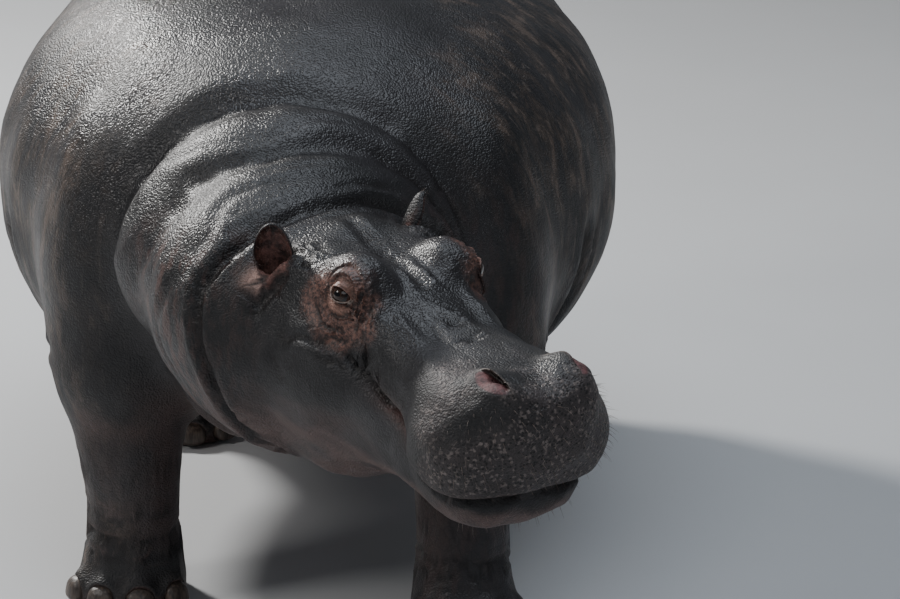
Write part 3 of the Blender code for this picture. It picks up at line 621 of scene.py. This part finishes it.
def ear_cup(side):
    bm = bmesh.new()
    bmesh.ops.create_uvsphere(bm, u_segments=52, v_segments=34, radius=1)
    frame_of = ear_axes(side)
    for vertex in bm.verts:
        out, across, tall = vertex.co
        round_rim = math.hypot(across, tall)
        spin = math.atan2(tall, across)
        if out > 0:
            depth = EAR_DEEP * (1 - round_rim ** 3.2)
            lip = EAR_RIM * math.sqrt(max(0, 1 - min(1, abs(round_rim - 0.93) / 0.07) ** 2))
            crinkle = 0.0011 * math.sin(9 * spin + 5 * round_rim) * (1 - round_rim) * 3 * round_rim
            x = lip - depth + crinkle
        else:
            x = -EAR_RIM * 0.6 - (EAR_DEEP + 0.003) * math.sqrt(max(0, 1 - round_rim ** 2))
            x += 0.003 * math.exp(-(across / 0.10) ** 2) * (1 - round_rim)
        narrow = 1 - 0.38 * max(0, -tall) ** 1.3 - 0.10 * max(0, tall) ** 3
        x += 0.006 * across ** 2 - 0.006 * max(0, tall) ** 2
        x += 0.0015 * math.sin(5 * spin + side) * round_rim ** 6
        vertex.co = frame_of @ Vector((x + 0.004, across * EAR_WIDE * narrow, tall * EAR_TALL))
    bmesh.ops.recalc_face_normals(bm, faces=bm.faces)
    return bm


def join_ears(obj):
    both = bmesh.new()
    for side in (1, -1):
        one = ear_cup(side)
        mesh = bpy.data.meshes.new("ear")
        one.to_mesh(mesh)
        one.free()
        both.from_mesh(mesh)
        bpy.data.meshes.remove(mesh)
    ears = new_object("ears", both)
    union = obj.modifiers.new("ears", "BOOLEAN")
    union.operation = "UNION"
    union.solver = "EXACT"
    union.object = ears
    settle(obj)
    bpy.data.objects.remove(ears)
    points = vertex_array(obj.data)
    root = np.zeros(len(points))
    for side in (1, -1):
        turned = in_ear_axes(points, side)
        root = np.maximum(root, bell(np.linalg.norm(turned - [0, 0, -0.040], axis=1), 0.030)
                          * ramp(-turned[:, 2], 0.005, 0.030))
    ease(obj.data, 4, np.clip(root * 1.3, 0, 1))


join_ears(hide)

# ---------------- the hide's colours
# Wet hide is slate, nearly black. It is brown in streaks on the flanks, and raw flesh pink shows
# where it is thin: round the eyes, in the ears and nostrils, at the mouth, behind the ears, below.
# The pink behind the ears is made paler as painted sunlight, the creases hold painted shade with
# dirt, and the nostrils' inner rims carry a painted glint.


def mark(mesh, name, amount):
    layer = mesh.attributes.new(name, "FLOAT", "POINT")
    layer.data.foreach_set("value", np.clip(amount, 0, 1).astype(np.float32))


def hollows(mesh):
    """1 down in the creases and 0 on open hide, by how far each point lies under its neighbours."""
    before = vertex_array(mesh)
    ease(mesh, 6, np.ones(len(before)))
    depth = ((vertex_array(mesh) - before) * normal_array(mesh)).sum(1)
    place(mesh, before)
    return ramp(depth, 0.0004, 0.0030)


def mark_hide(mesh):
    # how deep each point lies in a crease, used for painted shade and dirt in the creases
    crease_dirt_and_shade = hollows(mesh)
    points = vertex_array(mesh)
    normals = normal_array(mesh)
    x, y, z = points.T
    local = in_head_axes(points)
    ahead, across, up = local.T
    wide = np.abs(across)
    loose = waver(points, 0.12, 11)
    fine = waver(points, 0.035, 12)
    is_side = ramp(wide, 0.09, 0.13)
    low = ahead * 0.35 + up + 0.020
    around = np.hypot((ahead + 0.008) / 0.094, low / (0.084 + 0.008 * (low < 0)))
    rust = (1 - ramp(around + 0.16 * fine, 0.80, 1.12)) * is_side
    rust *= 1 - 0.9 * ramp(up - 0.35 * ahead, 0.030, 0.058) * ramp(-ahead, 0.0, 0.05)
    lid, rim, raw, ear, on_ear = np.zeros((5, len(points)))
    for side, centre in eye_middles.items():
        axes = np.array([list(axis) for axis in eye_axes(side)])
        out, along, rise = ((points - np.array(centre)) @ axes.T).T
        spread = np.hypot(along, rise)
        below = ramp(-rise, 0.008, 0.020) * ramp(rise, -0.044, -0.034) * bell(along, 0.030)
        above = bell(spread - 0.0235, 0.0075) * ramp(rise, -0.006, 0.006)
        lid = np.maximum(lid, (np.maximum(below, 0.85 * above)) * (out > -0.01) * (spread < 0.06))
        rim = np.maximum(rim, bell(slit_reach(along, rise) - 1.20, 0.17) * ramp(-rise, -0.005, 0.002)
                         * (out > 0) * (spread < 0.05))
        turned = in_ear_axes(points, side)
        reach = np.hypot(turned[:, 1] / EAR_WIDE, turned[:, 2] / EAR_TALL)
        is_ear = (reach < 1.25) * (np.abs(turned[:, 0]) < 0.05)
        inside = np.clip(reach, 0, 1)
        wall = 0.0028 - 0.0112 * ((1 - inside ** 3.2) + np.sqrt(1 - inside ** 2))
        in_cup = ramp(turned[:, 0] - wall, -0.0010, 0.0014)
        ear = np.maximum(ear, is_ear * in_cup * (1 - ramp(reach, 0.86, 1.0)))
        on_ear = np.maximum(on_ear, is_ear * (1 - ramp(reach, 1.0, 1.25)))
    tree = surface_tree(mesh)
    for side in (1, -1):
        centre, axes = nostril_axes(tree, side)
        height, along, aside = ((points - np.array(centre)) @ axes.T).T
        reach = nostril_reach(along, aside)[0]
        raw = np.maximum(raw, (1 - ramp(reach, 0.80, 1.0)) * (np.abs(height) < 0.06)
                         * (np.hypot(along, aside) < 0.09))
        # the inner rim of each nostril takes the pale rim colour as a painted glint of wet light
        rim = np.maximum(rim, 0.45 * bell(reach - 1.06, 0.09) * ramp(-aside, -0.004, 0.010)
                         * (np.abs(height) < 0.04) * (np.hypot(along, aside) < 0.08))
    gap, along = from_line(local[:, [0, 2]], MOUTH_LINE)
    lips = is_side * bell(along - 0.66, 0.10) * bell(gap, 0.013)
    raw = np.maximum(raw, 0.45 * lips)
    # the pink patch behind the ear, its pale tone partly a painted pool of sunlight
    blush_and_painted_sun = bell(np.hypot((ahead + 0.212) / 1.2, (up + 0.045)), 0.021) * is_side * (1 - ear)
    blush_and_painted_sun = np.maximum(blush_and_painted_sun, 0.18 * bell(gap, 0.020) * is_side * bell(along - 0.66, 0.12))
    snout = ramp(ahead + 0.12 * loose, 0.34, 0.43) * ramp(up, -0.26, -0.20) \
        * ramp(-up + 0.02 * fine + 0.8 * np.clip(ahead - 0.42, 0, 0.06), 0.008, 0.040)
    cheek = ramp(ahead, -0.45, -0.30) * ramp(-ahead, 0.12, 0.22) * ramp(-up, -0.04, 0.08) * is_side
    neck = np.maximum(ramp(-y, 0.55, 0.72) * ramp(y, -1.02, -0.84)
                      * ramp(-ahead, 0.20, 0.30) * ramp(-z, -1.05, -0.92), 0.35 * cheek)
    dull = ramp(ahead, 0.10, 0.26) * ramp(wide - 0.035 + np.maximum(-up, 0) * 2, 0.0, 0.05)
    for drier in (0.9 * ramp(np.abs(x), 0.45, 0.66) * ramp(-z, -1.10, -0.80),
                  0.85 * rust * ramp(-up, -0.060, -0.035),
                  0.7 * is_side * ramp(-up, 0.03, 0.12) * ramp(ahead, -0.36, -0.28),
                  ramp(-z, -0.80, -0.60) * (ahead < -0.3), 0.9 * on_ear):
        dull = np.maximum(dull, drier)
    flank = ramp(np.abs(x) + 0.10 * loose, 0.20, 0.55) * ramp(y, -0.50, -0.25)
    under = ramp(-z + 0.10 * loose, -0.52, -0.30) * ramp(-normals[:, 2], -0.2, 0.7)
    inner = ramp(-np.abs(x), -0.42, -0.25) * ramp(-z, -0.60, -0.45) * 0.6
    under = np.maximum(under, inner * ramp(z, 0.10, 0.2))
    under = np.maximum(under, ramp(-up, 0.20, 0.27) * ramp(-normals[:, 2], 0.2, 0.7) * (ahead > -0.3))
    for name, amount in (("rust", rust), ("lid", lid), ("raw", raw), ("ear", ear),
                         ("blush_and_painted_sun", blush_and_painted_sun), ("snout", snout), ("neck", neck), ("flank", flank),
                         ("under", under), ("crease_dirt_and_shade", crease_dirt_and_shade), ("dull", dull), ("rim", rim)):
        mark(mesh, name, amount)


class Paint:
    """Builds a material out of plain steps, each an output to feed to the next."""

    def __init__(self, name):
        self.material = bpy.data.materials.new(name)
        self.material.use_nodes = True
        self.tree = self.material.node_tree
        self.shader = self.tree.nodes["Principled BSDF"]
        self.place = self.step("ShaderNodeTexCoord").outputs["Object"]

    def step(self, kind, **settings):
        node = self.tree.nodes.new(kind)
        for key, value in settings.items():
            setattr(node, key, value)
        return node

    def feed(self, socket, value):
        if isinstance(value, bpy.types.NodeSocket):
            self.tree.links.new(value, socket)
        elif isinstance(value, tuple):
            socket.default_value = (*value, 1)[:len(socket.default_value)]
        else:
            socket.default_value = value

    def give(self, name, value):
        """Sets the shader's own socket, or links a pattern to it."""
        self.feed(self.shader.inputs[name], value)

    def mark(self, name):
        return self.step("ShaderNodeAttribute", attribute_name=name).outputs["Fac"]

    def share(self, name, amount):
        """A mark on the hide, held back by a number or a pattern."""
        return self.sum("MULTIPLY", self.mark(name), amount)

    def sum(self, operation, *values):
        node = self.step("ShaderNodeMath", operation=operation)
        for socket, value in zip(node.inputs, values):
            self.feed(socket, value)
        return node.outputs[0]

    def blend(self, share, below, above, way="MIX"):
        node = self.step("ShaderNodeMix", data_type="RGBA", blend_type=way)
        self.feed(node.inputs["Factor"], share)
        self.feed(node.inputs["A"], below)
        self.feed(node.inputs["B"], above)
        return node.outputs["Result"]

    def between(self, value, low, high, start=0.0, end=1.0):
        node = self.step("ShaderNodeMapRange", interpolation_type="SMOOTHSTEP")
        for socket, fact in zip(node.inputs, (value, low, high, start, end)):
            self.feed(socket, fact)
        return node.outputs[0]

    def stretched(self, size):
        node = self.step("ShaderNodeMapping")
        self.feed(node.inputs["Vector"], self.place)
        node.inputs["Scale"].default_value = size
        return node.outputs[0]

    def cloud(self, scale, detail=3.0, rough=0.55, vector=None, twist=0.0):
        node = self.step("ShaderNodeTexNoise")
        self.feed(node.inputs["Vector"], vector or self.place)
        node.inputs["Scale"].default_value = scale
        node.inputs["Detail"].default_value = detail
        node.inputs["Roughness"].default_value = rough
        node.inputs["Distortion"].default_value = twist
        return node.outputs["Fac"]

    def cells(self, scale, feature="F1", vector=None):
        node = self.step("ShaderNodeTexVoronoi", feature=feature)
        self.feed(node.inputs["Vector"], vector or self.place)
        node.inputs["Scale"].default_value = scale
        return node.outputs["Distance"]

    def relief(self, height, depth, strength=1.0, under=None):
        node = self.step("ShaderNodeBump")
        self.feed(node.inputs["Height"], height)
        self.feed(node.inputs["Strength"], strength)
        node.inputs["Distance"].default_value = depth
        if under is not None:
            self.feed(node.inputs["Normal"], under)
        return node.outputs["Normal"]


def hide_paint():
    paint = Paint("wet hide")
    broad = paint.cloud(2.6, 3, 0.6)
    patch = paint.cloud(9.0, 4, 0.62)
    grain = paint.cloud(75.0, 3, 0.65)
    streaks = paint.cloud(12.0, 5, 0.70, paint.stretched((1.1, 1.8, 0.60)), 0.4)
    scratches = paint.cloud(34.0, 4, 0.6, paint.stretched((1.2, 2.0, 0.20)), 0.4)
    pebbles = paint.cells(265.0, "SMOOTH_F1")
    cracks = paint.cells(38.0, "DISTANCE_TO_EDGE", paint.stretched((1.0, 1.4, 0.8)))
    small_cracks = paint.cells(140.0, "DISTANCE_TO_EDGE", paint.stretched((1.1, 0.9, 1.0)))
    pits = paint.sum("ADD", paint.cells(116.0), paint.sum("MULTIPLY", grain, 0.55))
    flecks = paint.sum("ADD", paint.cells(88.0), paint.sum("MULTIPLY", paint.cloud(160.0), 0.9))

    # slate, blacker in patches, then brown and scratched on the flanks
    colour = paint.blend(paint.between(broad, 0.35, 0.68), (0.010, 0.0092, 0.0100),
                         (0.027, 0.0245, 0.0265))
    colour = paint.blend(paint.between(patch, 0.45, 0.72, 0, 0.6), colour, (0.008, 0.0075, 0.008))
    for pattern, low, high, most, brown in ((streaks, 0.44, 0.54, 0.85, (0.042, 0.031, 0.025)),
                                            (streaks, 0.55, 0.63, 0.9, (0.112, 0.080, 0.063)),
                                            (scratches, 0.58, 0.66, 0.5, (0.130, 0.102, 0.086))):
        shown = paint.share("flank", paint.between(pattern, low, high, 0, most))
        colour = paint.blend(shown, colour, brown)
    neck = paint.share("neck", paint.between(
        paint.cloud(30.0, 4, 0.65, paint.stretched((1.2, 1.2, 0.35))), 0.44, 0.62))
    colour = paint.blend(neck, colour, (0.074, 0.038, 0.031))
    under = paint.share("under", paint.between(patch, 0.22, 0.58))
    colour = paint.blend(under, colour, (0.110, 0.068, 0.060))

    # rust red round the eyes, tan lids, a pale rim on the lower lids, and a painted glint on the
    # nostrils' inner rims
    rust = paint.share("rust", paint.between(patch, 0.20, 0.46, 0.65, 1.0))
    rust_colour = paint.blend(paint.between(paint.cloud(140.0, 4, 0.7), 0.38, 0.60),
                              (0.030, 0.015, 0.013), (0.205, 0.098, 0.072))
    rust_colour = paint.blend(paint.between(patch, 0.50, 0.66, 0, 0.7), rust_colour,
                              (0.022, 0.012, 0.012))
    colour = paint.blend(rust, colour, rust_colour)
    colour = paint.blend(paint.mark("lid"), colour, paint.blend(
        paint.between(grain, 0.35, 0.65), (0.210, 0.104, 0.074), (0.400, 0.220, 0.165)))
    colour = paint.blend(paint.share("rim", 0.9), colour, (0.330, 0.265, 0.225))
    # the pink behind the ear, made paler than its own colour as painted sunlight
    colour = paint.blend(paint.share("blush_and_painted_sun", paint.between(patch, 0.16, 0.40)), colour,
                         (0.700, 0.440, 0.360))

    # the snout, pale between its pits; raw pink in the nostrils and lips; the hollow of the ear
    colour = paint.blend(paint.share("snout", paint.between(patch, 0.30, 0.60, 0.35, 0.9)), colour,
                         (0.060, 0.047, 0.046))
    colour = paint.blend(paint.share("snout", paint.between(flecks, 0.88, 0.68, 0, 0.8)), colour,
                         (0.190, 0.155, 0.142))
    in_pit = paint.share("snout", paint.between(pits, 0.66, 0.50))
    colour = paint.blend(in_pit, colour, (0.010, 0.008, 0.008))
    colour = paint.blend(paint.mark("raw"), colour, paint.blend(
        paint.between(grain, 0.35, 0.70), (0.068, 0.024, 0.025), (0.165, 0.064, 0.063)))
    colour = paint.blend(paint.mark("ear"), colour, paint.blend(
        paint.between(paint.cloud(38.0, 3, 0.6), 0.40, 0.62), (0.042, 0.017, 0.013),
        (0.185, 0.084, 0.068)))

    # darker lines in the cracks, and painted shade with dirt down in the creases
    for gaps, width, darkest in ((cracks, 0.08, 0.75), (small_cracks, 0.07, 0.60)):
        colour = paint.blend(1.0, colour, paint.between(gaps, 0.0, width, darkest, 1.0), "MULTIPLY")
    colour = paint.blend(paint.share("crease_dirt_and_shade", 0.9), colour, (0.006, 0.004, 0.004))
    paint.give("Base Color", colour)

    # wet above and half dry on the sides
    rough = paint.sum("ADD", paint.between(patch, 0.30, 0.72, 0.27, 0.40),
                      paint.between(broad, 0.38, 0.62, 0.07, 0.0))
    rough = paint.sum("ADD", rough, paint.share("dull", 0.20))
    paint.give("Roughness", rough)
    paint.give("Specular IOR Level", 0.50)

    # cracks, slow swells, pebbles that are flatter on raw flesh, and the pits of the snout
    normal = paint.relief(paint.between(cracks, 0.0, 0.16), 0.0008, 0.40)
    normal = paint.relief(paint.cloud(26.0, 4, 0.6, paint.stretched((1.0, 1.0, 0.5))), 0.0013, 0.35,
                          normal)
    soft = paint.between(paint.sum("MAXIMUM", paint.mark("rust"), paint.mark("raw")), 0, 1, 0.85, 0.25)
    normal = paint.relief(pebbles, -0.0024, soft, normal)
    normal = paint.relief(in_pit, -0.0016, 0.8, normal)
    paint.give("Normal", normal)
    return paint.material


mark_hide(hide.data)
hide.data.materials.clear()
hide.data.materials.append(hide_paint())
hide.data.shade_smooth()
hide.data.calc_loop_triangles()
print("hide triangles", len(hide.data.loop_triangles))
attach(hide, "root")
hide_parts(*FLESH, "ear_left", "ear_right")

# ---------------- the eyes
# Globes set high on the head, dark brown with a wide pupil and hardly any white to be seen. The
# clear front stands a little proud and is always wet. Each is one closed globe in its socket.


def eye_paint():
    paint = Paint("wet eye")
    off = paint.mark("off_gaze")
    pupil = paint.mark("pupil")
    streaks = paint.cloud(420.0, 3, 0.6)
    iris = paint.blend(paint.between(streaks, 0.35, 0.68), (0.010, 0.005, 0.003), (0.050, 0.022, 0.011))
    colour = paint.blend(paint.between(off, 0.0145, 0.0160), iris, (0.006, 0.004, 0.004))
    colour = paint.blend(paint.between(off, 0.0180, 0.0210), colour, (0.070, 0.036, 0.028))
    colour = paint.blend(paint.between(pupil, 0.85, 1.1), (0.0015, 0.0015, 0.002), colour)
    paint.give("Base Color", colour)
    paint.give("Roughness", 0.06)
    paint.give("Coat Weight", 0.3)
    paint.give("Coat Roughness", 0.02)
    paint.give("Specular IOR Level", 0.35)
    return paint.material


PUPIL = (0.0076, 0.0050)  # half its width and half its height
BULGE, BULGE_WIDE = 0.0012, 0.011  # how far the clear front stands proud, and over what radius
wet_eye = eye_paint()
for side, name in ((1, "eye_left"), (-1, "eye_right")):
    bm = bmesh.new()
    bmesh.ops.create_uvsphere(bm, u_segments=64, v_segments=40, radius=EYE_RADIUS)
    gaze, slit, lift = eye_axes(side)
    across = lift.cross(gaze)
    turn = Matrix((across, lift, gaze)).transposed().to_4x4()
    facts = {}
    for vertex in bm.verts:
        x, y, z = vertex.co
        off = math.hypot(x, y) if z > 0 else EYE_RADIUS
        oval = math.hypot(x / PUPIL[0], y / PUPIL[1]) if z > 0 else 9.0
        facts[vertex.index] = (off, oval)
        if z > 0:
            vertex.co.z += BULGE * math.exp(-(off / BULGE_WIDE) ** 4)
    bm.transform(Matrix.Translation(eye_middles[side]) @ turn)
    bmesh.ops.recalc_face_normals(bm, faces=bm.faces)
    eye = new_object("globe_" + name, bm)
    for k, label in enumerate(("off_gaze", "pupil")):
        layer = eye.data.attributes.new(label, "FLOAT", "POINT")
        layer.data.foreach_set("value", [facts[v][k] for v in range(len(facts))])
    eye.data.materials.append(wet_eye)
    eye.data.shade_smooth()
    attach(eye, "root")
    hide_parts(name)

# ---------------- the nails
# Four blunt plates of horn on each foot, one at the front of each toe. They are domed across,
# thick at the free edge, faintly ribbed down their length and worn at the tips.


def nail_paint():
    paint = Paint("horn")
    ribs = paint.cloud(160.0, 2, 0.5, paint.stretched((1.0, 1.0, 0.12)))
    stain = paint.cloud(30.0, 3, 0.6)
    colour = paint.blend(paint.between(ribs, 0.35, 0.65), (0.034, 0.025, 0.021), (0.098, 0.073, 0.058))
    colour = paint.blend(paint.between(stain, 0.48, 0.70, 0, 0.7), colour, (0.030, 0.024, 0.022))
    paint.give("Base Color", colour)
    paint.give("Roughness", 0.42)
    worn = paint.relief(paint.cloud(55.0, 3, 0.6), 0.0025, 0.5)
    paint.give("Normal", paint.relief(ribs, 0.0014, 0.7, worn))
    return paint.material


def squared(value, power):
    """Swells a ball's coordinate towards a box's, the more so the lower the power."""
    return math.copysign(abs(value) ** power, value)


NAIL_THICK, NAIL_WIDE = 0.0200, 0.0315  # half sizes

horn = nail_paint()
for end, side in FEET:
    foot = middle(f"{end}foot_{side}")
    for number in (1, 2, 3, 4):
        name = f"{end}foot_nail_{number}_{side}"
        low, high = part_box(name)
        centre = (low + high) / 2
        out = toe_way(foot, centre)
        turn = Matrix((out, Vector((-out.y, out.x, 0)), Vector((0, 0, 1)))).transposed()
        tall = (high.z - low.z) / 2
        bm = bmesh.new()
        bmesh.ops.create_uvsphere(bm, u_segments=32, v_segments=20, radius=1)
        for vertex in bm.verts:
            x, y, z = vertex.co
            upright = squared(z, 0.80) if z > 0 else max(squared(z, 0.62), -0.93)
            shape = Vector((squared(x, 0.80) * NAIL_THICK, squared(y, 0.80) * NAIL_WIDE,
                            upright * tall))
            shape.x += 0.0065 * max(0, -upright) - 0.0090 * max(0, upright) ** 1.5
            shape.y *= 1 + 0.06 * max(0, -upright) - 0.10 * max(0, upright)
            vertex.co = centre + turn @ shape
        bmesh.ops.recalc_face_normals(bm, faces=bm.faces)
        nail = new_object("plate_" + name, bm)
        nail.data.materials.append(horn)
        nail.data.shade_smooth()
        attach(nail, "root")
        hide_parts(name)

# ---------------- bristles
# Stiff bristles grow from pits on the muzzle and chin, line the rims of the ears and make a sparse
# brush on the tail. Each is a tapering thread of horn rooted in the hide.


def bristle_blank():
    """A straight tapering thread of three sides, 1 high, unwrapped into a small patch."""
    bm = bmesh.new()
    layer = bm.loops.layers.uv.new("OFBake")
    bmesh.ops.create_cone(bm, cap_ends=True, segments=3, radius1=1, radius2=0.22, depth=1,
                          calc_uvs=True)
    upright = [edge for edge in bm.edges if abs(edge.verts[0].co.z - edge.verts[1].co.z) > 0.5]
    bmesh.ops.subdivide_edges(bm, edges=upright, cuts=3)
    bmesh.ops.translate(bm, verts=bm.verts, vec=(0, 0, 0.5))
    for face in bm.faces:
        for corner in face.loops:
            corner[layer].uv = (corner[layer].uv - Vector((0.5, 0.5))) * 0.003
    blank = bpy.data.meshes.new("bristle")
    bm.to_mesh(blank)
    bm.free()
    return blank


def bristle(bm, blank, root, way, bend, length, thick, home):
    """Sets one bristle at its root, leaning and bent, its patch laid at the root's own place."""
    way = way.normalized()
    aside = way.orthogonal().normalized()
    over = way.cross(aside)
    bm.from_mesh(blank)
    bm.verts.ensure_lookup_table()
    bm.faces.ensure_lookup_table()
    layer = bm.loops.layers.uv["OFBake"]
    for vertex in bm.verts[-len(blank.vertices):]:
        x, y, rise = vertex.co
        vertex.co = root + (aside * x + over * y) * thick + (way + bend * rise) * length * rise
    for face in bm.faces[-len(blank.polygons):]:
        for corner in face.loops:
            corner[layer].uv += Vector(home)


def bristle_home(root):
    """The root's place on the hide laid flat, unrolled round the length of the body."""
    low, high = cad_box
    turn = math.atan2(root.x, root.z - 0.75) / (2 * math.pi) + 0.5
    return 0.01 + 0.97 * turn, 0.01 + 0.97 * (root.y - low.y) / (high.y - low.y)


def grow_bristles():
    mesh = hide.data
    points, normals = vertex_array(mesh), normal_array(mesh)
    ahead, _, up = in_head_axes(points).T
    chance = random.Random(7)
    bm = bmesh.new()
    bm.loops.layers.uv.new("OFBake")
    blank = bristle_blank()
    raw = np.empty(len(points), np.float32)
    mesh.attributes["raw"].data.foreach_get("value", raw)
    turned = normals @ np.array(HEAD_TURN)

    def scatter(places, count, spacing, length, thick, lie):
        picked = []
        order = [int(k) for k in places]
        chance.shuffle(order)
        for k in order:
            root = Vector(points[k])
            if any((root - other).length < spacing for other in picked):
                continue
            picked.append(root)
            normal = Vector(normals[k])
            long = chance.uniform(*length)
            way = normal + lie * chance.uniform(0.3, 0.9) + Vector(
                [chance.uniform(-0.25, 0.25) for _ in range(3)])
            bend = (lie + Vector((0, 0, -0.6))) * chance.uniform(0.10, 0.30)
            bristle(bm, blank, root - normal * 0.001, way, bend, long, thick, bristle_home(root))
            if len(picked) >= count:
                return

    forward = HEAD_TURN @ Vector((0.4, 0, -0.5))
    snout = np.flatnonzero((ahead > 0.40) & (up < -0.035) & (up > -0.215) & (raw < 0.1)
                           & (turned[:, 2] > -0.6))
    scatter(snout, 210, 0.016, (0.010, 0.024), 0.00055, forward)
    chin = np.flatnonzero((ahead > 0.40) & (up < -0.275) & (turned[:, 0] > -0.2))
    scatter(chin, 60, 0.022, (0.008, 0.020), 0.0005, forward)
    for side in (1, -1):
        out, across, tall = in_ear_axes(points, side).T
        reach = np.hypot(across / EAR_WIDE, tall / EAR_TALL)
        rim = np.flatnonzero((np.abs(reach - 0.90) < 0.16) & (np.abs(out) < 0.012) & (tall > -0.045))
        lie = ear_axes(side).to_3x3() @ Vector((0.7, 0, 0.2))
        scatter(rim, 90, 0.0045, (0.007, 0.014), 0.00035, lie)
    tail_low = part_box("tail")[0]
    tail = np.flatnonzero((points[:, 1] > points[:, 1].max() - 0.35)
                          & (points[:, 2] < tail_low.z + 0.13) & (points[:, 1] > tail_low.y + 0.02)
                          & (np.abs(points[:, 0] - middle("tail").x) < 0.08))
    scatter(tail, 110, 0.006, (0.020, 0.045), 0.0007, Vector((0, 0.15, -0.9)))
    bpy.data.meshes.remove(blank)
    return new_object("bristles", bm)


def bristle_paint():
    paint = Paint("bristle")
    paint.give("Base Color", paint.blend(
        paint.between(paint.cloud(14.0, 2), 0.35, 0.65), (0.10, 0.075, 0.060), (0.26, 0.20, 0.165)))
    paint.give("Roughness", 0.45)
    return paint.material


bristles = grow_bristles()
bristles.data.materials.append(bristle_paint())
bristles.data.shade_smooth()
bristles.data.calc_loop_triangles()
print("bristle triangles", len(bristles.data.loop_triangles))
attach(bristles, "root")

# ---------------- floor, light and camera
# A plain pale floor. Soft light falls from above and behind on the left, as on a bright day.

bm = bmesh.new()
bmesh.ops.create_grid(bm, x_segments=1, y_segments=1, size=30)
floor = new_object("floor", bm)
floor_paint = Paint("pale floor")
floor_paint.give("Base Color", floor_paint.blend(
    floor_paint.cloud(1.5, 2), (0.52, 0.53, 0.54), (0.56, 0.57, 0.58)))
floor_paint.give("Roughness", 0.9)
floor.data.materials.append(floor_paint.material)


def soft_lamp(name, spot, aim, size, power, colour):
    light = bpy.data.lights.new(name, "AREA")
    light.shape = "DISK"
    light.size = size
    light.energy = power
    light.color = colour
    lamp = bpy.data.objects.new(name, light)
    lamp.location = spot
    lamp.rotation_mode = "QUATERNION"
    lamp.rotation_quaternion = (Vector(aim) - Vector(spot)).to_track_quat("-Z", "Y")
    bpy.context.scene.collection.objects.link(lamp)


soft_lamp("sun", (-4.6, 4.6, 5.2), (0, -0.6, 0.9), 1.2, 780, (1.0, 0.98, 0.95))
soft_lamp("sky", (0.6, -0.4, 5.6), (0.1, -0.5, 0.9), 4.5, 160, (0.84, 0.91, 1.0))
soft_lamp("side", (-5.0, -2.5, 4.5), (0.0, -0.6, 0.8), 1.8, 110, (1.0, 0.97, 0.94))
soft_lamp("fill", (1.6, -7.5, 5.5), (0.1, -0.6, 0.8), 4.5, 72, (0.92, 0.95, 1.0))
world = bpy.data.worlds.new("studio")
bpy.context.scene.world = world
world.use_nodes = True
world.node_tree.nodes["Background"].inputs["Color"].default_value = (0.82, 0.88, 0.96, 1)
world.node_tree.nodes["Background"].inputs["Strength"].default_value = 0.17

camera_data = bpy.data.cameras.new("camera")
camera_data.lens = 158.4
camera_data.sensor_width = 36
camera = bpy.data.objects.new("camera", camera_data)
camera.location = (0.5134, -8.5597, 3.2343)
camera.rotation_euler = (math.radians(90 - 17.0), 0, math.radians(1.2))
bpy.context.scene.collection.objects.link(camera)
bpy.context.scene.camera = camera
